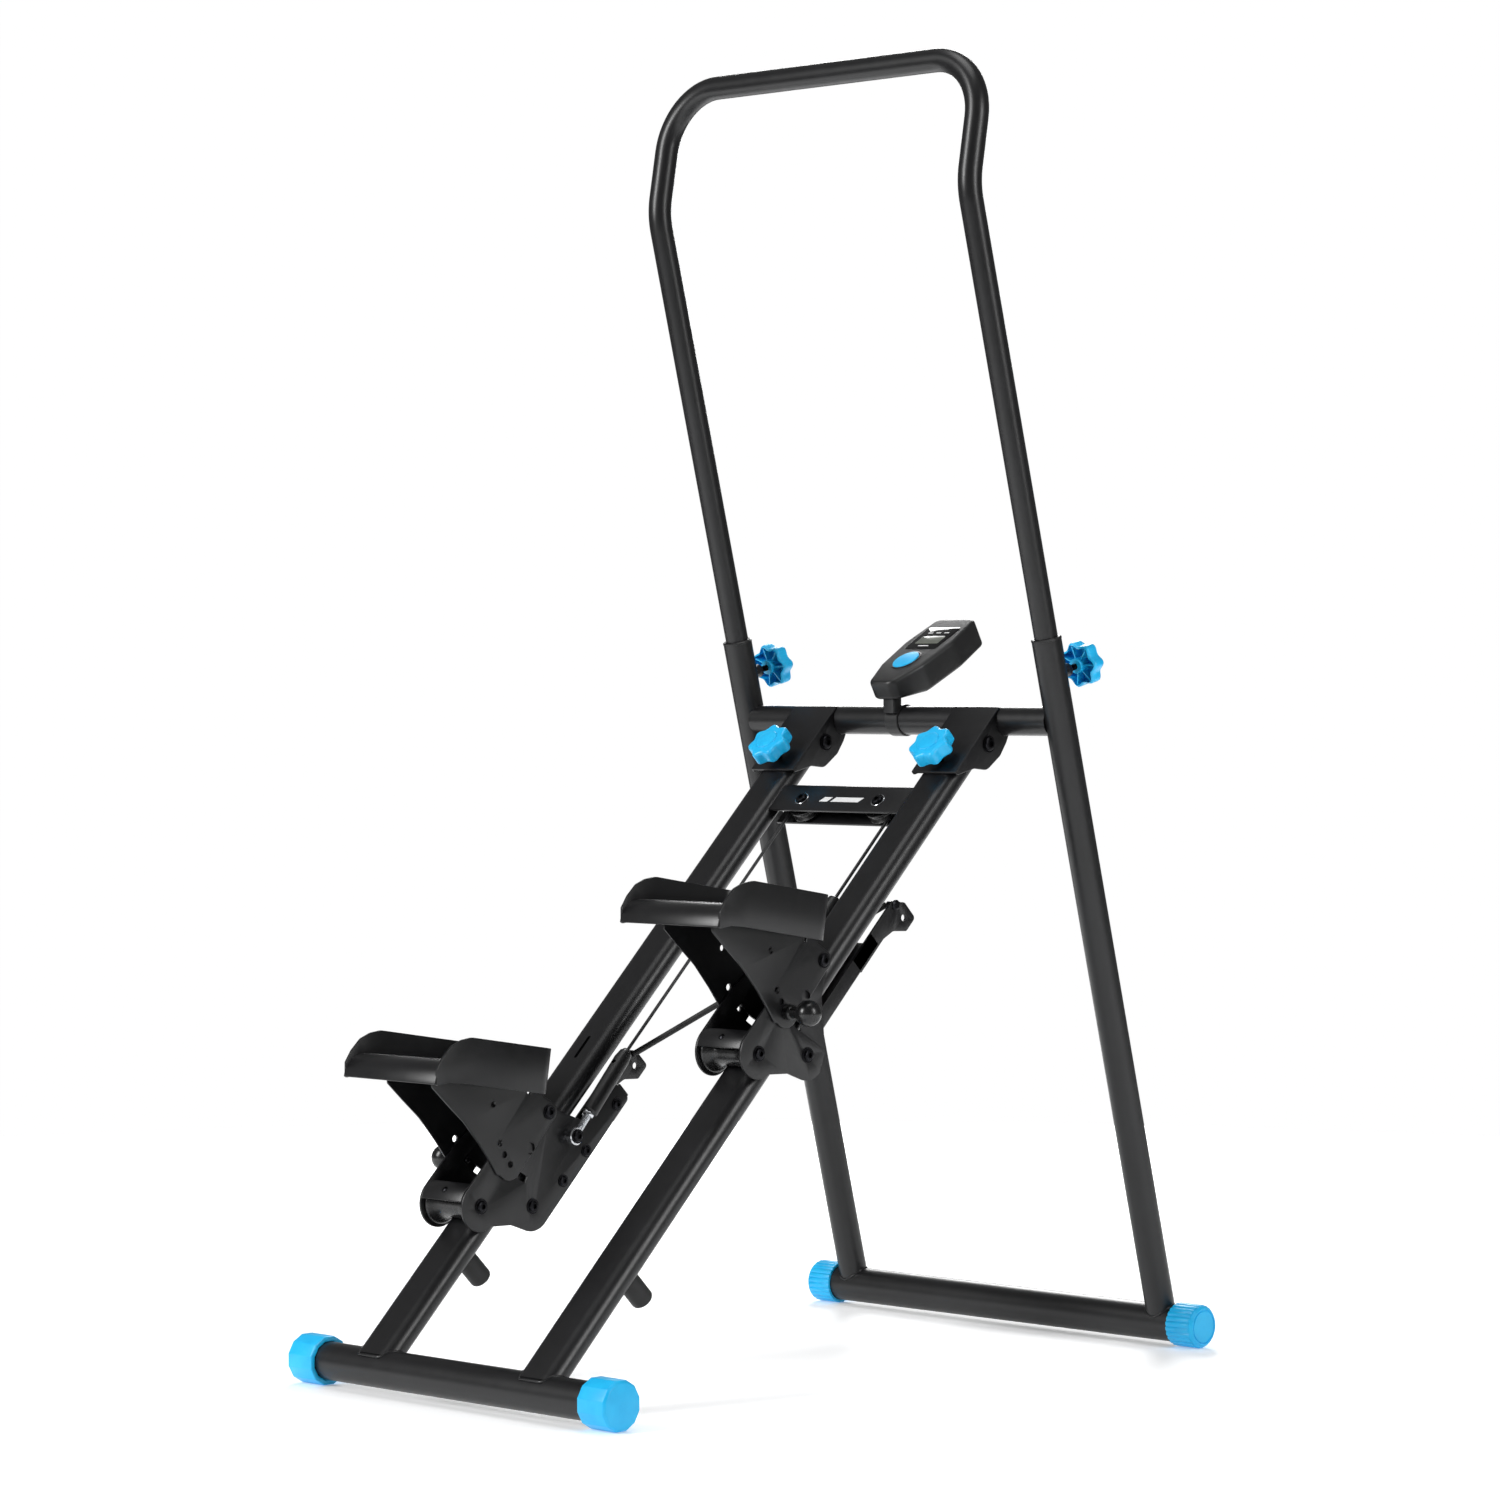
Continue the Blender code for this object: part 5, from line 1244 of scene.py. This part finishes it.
# %% Pull pins
BALL_R, BALL_OUT = 0.0160, 0.036
a = math.radians(PIN_ANGLE)
pin_at = (pivot.x + PIN_RADIUS * math.cos(a), pivot.y + PIN_RADIUS * math.sin(a))
for side, sign in SIDES:
    section = [(-0.0085, 0), (-0.0085, 0.0032), (-0.0077, 0.0039), (0.0003, 0.0039), (0.0003, 0.0090),
               (0.0012, 0.0095), (0.0085, 0.0095), (0.0098, 0.0086), (0.0105, 0.0074), (0.0195, 0.0070),
               (0.0225, 0.0073)]
    section += [(BALL_OUT + x, r) for x, r in arc((0, 0), BALL_R, 146, 6, 24)] + [(BALL_OUT + BALL_R, 0)]
    outward = Matrix.Rotation(0 if sign > 0 else math.pi, 4, "Z")
    at = carriages[side] @ Matrix.Translation((sign * BRACKET_OUT, *pin_at)) @ outward
    body = f"{side}_pull_pin"
    settle(turned(f"{side}_pull_knob", section), at, NYLON, body, "black_plastic", body)

# %% [markdown]
# ## Console
# The counter is a moulded ABS housing, round at its nose and square at its far end. It tilts towards the
# user on a short post, which clips on the cross tube. Its top carries an oval push button, a small display
# and a dark window with plain marks in place of lettering.

# %% Console
CONSOLE_TILT = math.radians(29)
console_at = Matrix.Translation(CROSS + Vector((0, 0.0094, 0.0782))) @ Matrix.Rotation(CONSOLE_TILT, 4, "X")
plan = [(0.020, -0.060, 0.014), (0.0365, -0.010, 0.03), (0.042, 0.050, 0.06), (0.034, 0.114, 0.012)]
plan = rounded([(-0.020, -0.060, 0.014), *plan, *[(-x, y, r) for x, y, r in plan[:0:-1]]], 10)
housing = flat("console_case", [(x, y, -0.038) for x, y in plan])
extrude(housing, (0, 0, 0.038))
slope = ((-0.075, -0.022), (-0.075, -0.07), (0.015, -0.07), (-0.015, -0.038))
cut(housing, extrude(flat("under", [(-0.1, a, b) for a, b in slope]), (0.2, 0, 0)))
soften(housing, 0.0050, 5, 40)


def oval_bar(name, radii, low, high):
    """An upright cylinder with an oval plan."""
    bpy.ops.object.select_all(action="DESELECT")
    place = (0, 0, (low + high) / 2)
    bpy.ops.mesh.primitive_cylinder_add(vertices=64, radius=1, depth=high - low, location=place)
    piece = added(name)
    piece.scale = (*radii, 1)
    bpy.ops.object.transform_apply(location=True, rotation=True, scale=True)
    return piece


cut(housing, oval_bar("pocket", (0.0175, 0.0205), -0.006, 0.01))
settle(housing, console_at, ABS, "upright_frame", "black_plastic", "console_housing", smooth=35)
button = soften(oval_bar("console_push", (0.017, 0.020), -0.0036, 0.0019), 0.0014, 4, 60)
settle(button, console_at, BLUE, "console_button", "blue_plastic", "console_button", smooth=50)
rim = oval_bar("button_ring", (0.0198, 0.0228), -0.001, 0.0007)
cut(rim, oval_bar("hole", (0.0174, 0.0204), -0.01, 0.01))
settle(soften(rim, 0.0003), console_at, ABS, "upright_frame", "black_plastic")


def pane(name, corners, low, high, finish):
    """A thin pane on the housing's top."""
    face = extrude(flat(name, [(x, y, low) for x, y in rounded(corners)]), (0, 0, high - low))
    settle(soften(face, 0.0002), console_at, finish, "upright_frame", "black_plastic")


def rectangle(x, y, half, height, radius=0):
    """Corners of a rectangle, from the middle of its near edge."""
    far = y + height
    return [(x - half, y, radius), (x + half, y, radius), (x + half, far, radius), (x - half, far, radius)]


MARK = 0.0022
shape = [(-0.027, 0.030, 0.004), (0.027, 0.030, 0.004), (0.029, 0.088, 0.005), (-0.029, 0.088, 0.005)]
pane("console_window", shape, -0.0003, 0.0004, WINDOW)
pane("console_display", rectangle(0, 0.044, 0.020, 0.020, 0.002), 0.0, 0.0006, DISPLAY)
marks = ((-0.014, 0.072, 0.004), (0, 0.072, 0.004), (0.014, 0.072, 0.004), (0, 0.037, 0.009))
for i, (x, y, half) in enumerate(marks):
    pane(f"console_mark_{i}", rectangle(x, y, half, MARK), 0.0002, 0.0006, PRINT)

# %% Console post and clip
low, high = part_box("console_foot")
post = flat("console_post", [(x, y, high.z) for x, y in rounded(
    [(-0.010, low.y, 0.003), (0.010, low.y, 0.003), (0.010, high.y, 0.003), (-0.010, high.y, 0.003)])])
extrude(post, (0, 0, low.z - high.z - 0.001))
cut(post, bar("saddle", CROSS - ACROSS * 0.05, CROSS + ACROSS * 0.05, CROSS_R + 0.0001, 64))
band = [(-0.011, CROSS_R + 0.0001), (-0.011, CROSS_R + 0.0012), (-0.010, CROSS_R + 0.0020),
        (0.010, CROSS_R + 0.0020), (0.011, CROSS_R + 0.0012), (0.011, CROSS_R + 0.0001)]
clip = turned("clip", band, 48)
clip.matrix_world = Matrix.Translation(CROSS)
only(clip)
bpy.ops.object.transform_apply(location=True, rotation=True, scale=True)
settle(join(post, clip), HERE, ABS, "upright_frame", "black_plastic", "console_foot", smooth=35)

# %% [markdown]
# ## Camera
# A long lens from far off keeps the tubes' lines nearly parallel, as in a product studio.

# %% Camera
camera_data = bpy.data.cameras.new("camera")
camera_data.sensor_width = 36
camera_data.lens = 110.12
camera = bpy.data.objects.new("camera", camera_data)
camera.location = (4.01106, -4.12098, 0.84782)
camera.rotation_euler = (math.radians(90 - 0.789), 0, math.radians(44.196))
bpy.context.scene.collection.objects.link(camera)
bpy.context.scene.camera = camera

# %% [markdown]
# The floor is a pale disc. Its own light rises from the middle outwards, so the object keeps its contact
# shadow and the disc's rim melts into the white all round. A far white sphere is that surround: the camera
# sees it, but it lights nothing and shows in no reflection.

# %% Floor and backdrop
floor_finish, tree, shader, place = start_finish("pale_floor", Base_Color=linear("#f4f5f6"), Roughness=0.6)
spread = add(tree, "VectorMath", {0: place}, operation="LENGTH").outputs["Value"]
ramp = {"Value": spread, "From Min": 0.9, "From Max": 2.8, "To Min": 0.25, "To Max": 1.0}
fade = add(tree, "MapRange", ramp)
shader.inputs["Emission Color"].default_value = (1, 1, 1, 1)
tree.links.new(fade.outputs["Result"], shader.inputs["Emission Strength"])
bpy.ops.object.select_all(action="DESELECT")
bpy.ops.mesh.primitive_circle_add(vertices=96, radius=3.2, fill_type="NGON", location=(0, 0, -0.0005))
floor = added("floor")
floor.data.materials.append(floor_finish)

backdrop_finish, tree, shader, place = start_finish("white_backdrop", Base_Color=(0, 0, 0, 1), Roughness=1.0)
shader.inputs["Emission Color"].default_value = (1, 1, 1, 1)
shader.inputs["Emission Strength"].default_value = 1.0
bpy.ops.object.select_all(action="DESELECT")
bpy.ops.mesh.primitive_uv_sphere_add(segments=64, ring_count=32, radius=30, location=(0, 0, 0))
backdrop = added("backdrop")
backdrop.data.materials.append(backdrop_finish)
backdrop.visible_diffuse = backdrop.visible_glossy = backdrop.visible_shadow = False

# %% [markdown]
# Four softboxes: a tall key in front, a tall one at the side for the long highlights on the tubes, a rim
# light behind that parts black from black, and a broad one above.

# %% Softboxes


def softbox(name, place, aim, size, power):
    light = bpy.data.lights.new(name, "AREA")
    light.shape = "RECTANGLE"
    light.size, light.size_y = size
    light.energy = power
    lamp = bpy.data.objects.new(name, light)
    lamp.location = place
    lamp.rotation_euler = (Vector(aim) - Vector(place)).to_track_quat("-Z", "Y").to_euler()
    bpy.context.scene.collection.objects.link(lamp)


AIM = (0, 0, 0.75)
softbox("key", (-1.6, -4.6, 3.0), AIM, (1.2, 3.0), 230)
softbox("side", (4.6, 0.4, 2.4), AIM, (1.2, 3.0), 100)
softbox("rim", (-2.6, 3.4, 2.8), AIM, (1.4, 2.6), 120)
softbox("top", (0, -0.2, 5.2), (0, 0, 0), (2.4, 2.4), 60)

world = bpy.data.worlds.new("studio")
world.use_nodes = True
world.node_tree.nodes["Background"].inputs["Color"].default_value = (1, 1, 1, 1)
world.node_tree.nodes["Background"].inputs["Strength"].default_value = 0.16
bpy.context.scene.world = world
bpy.context.scene.view_settings.view_transform = "Standard"
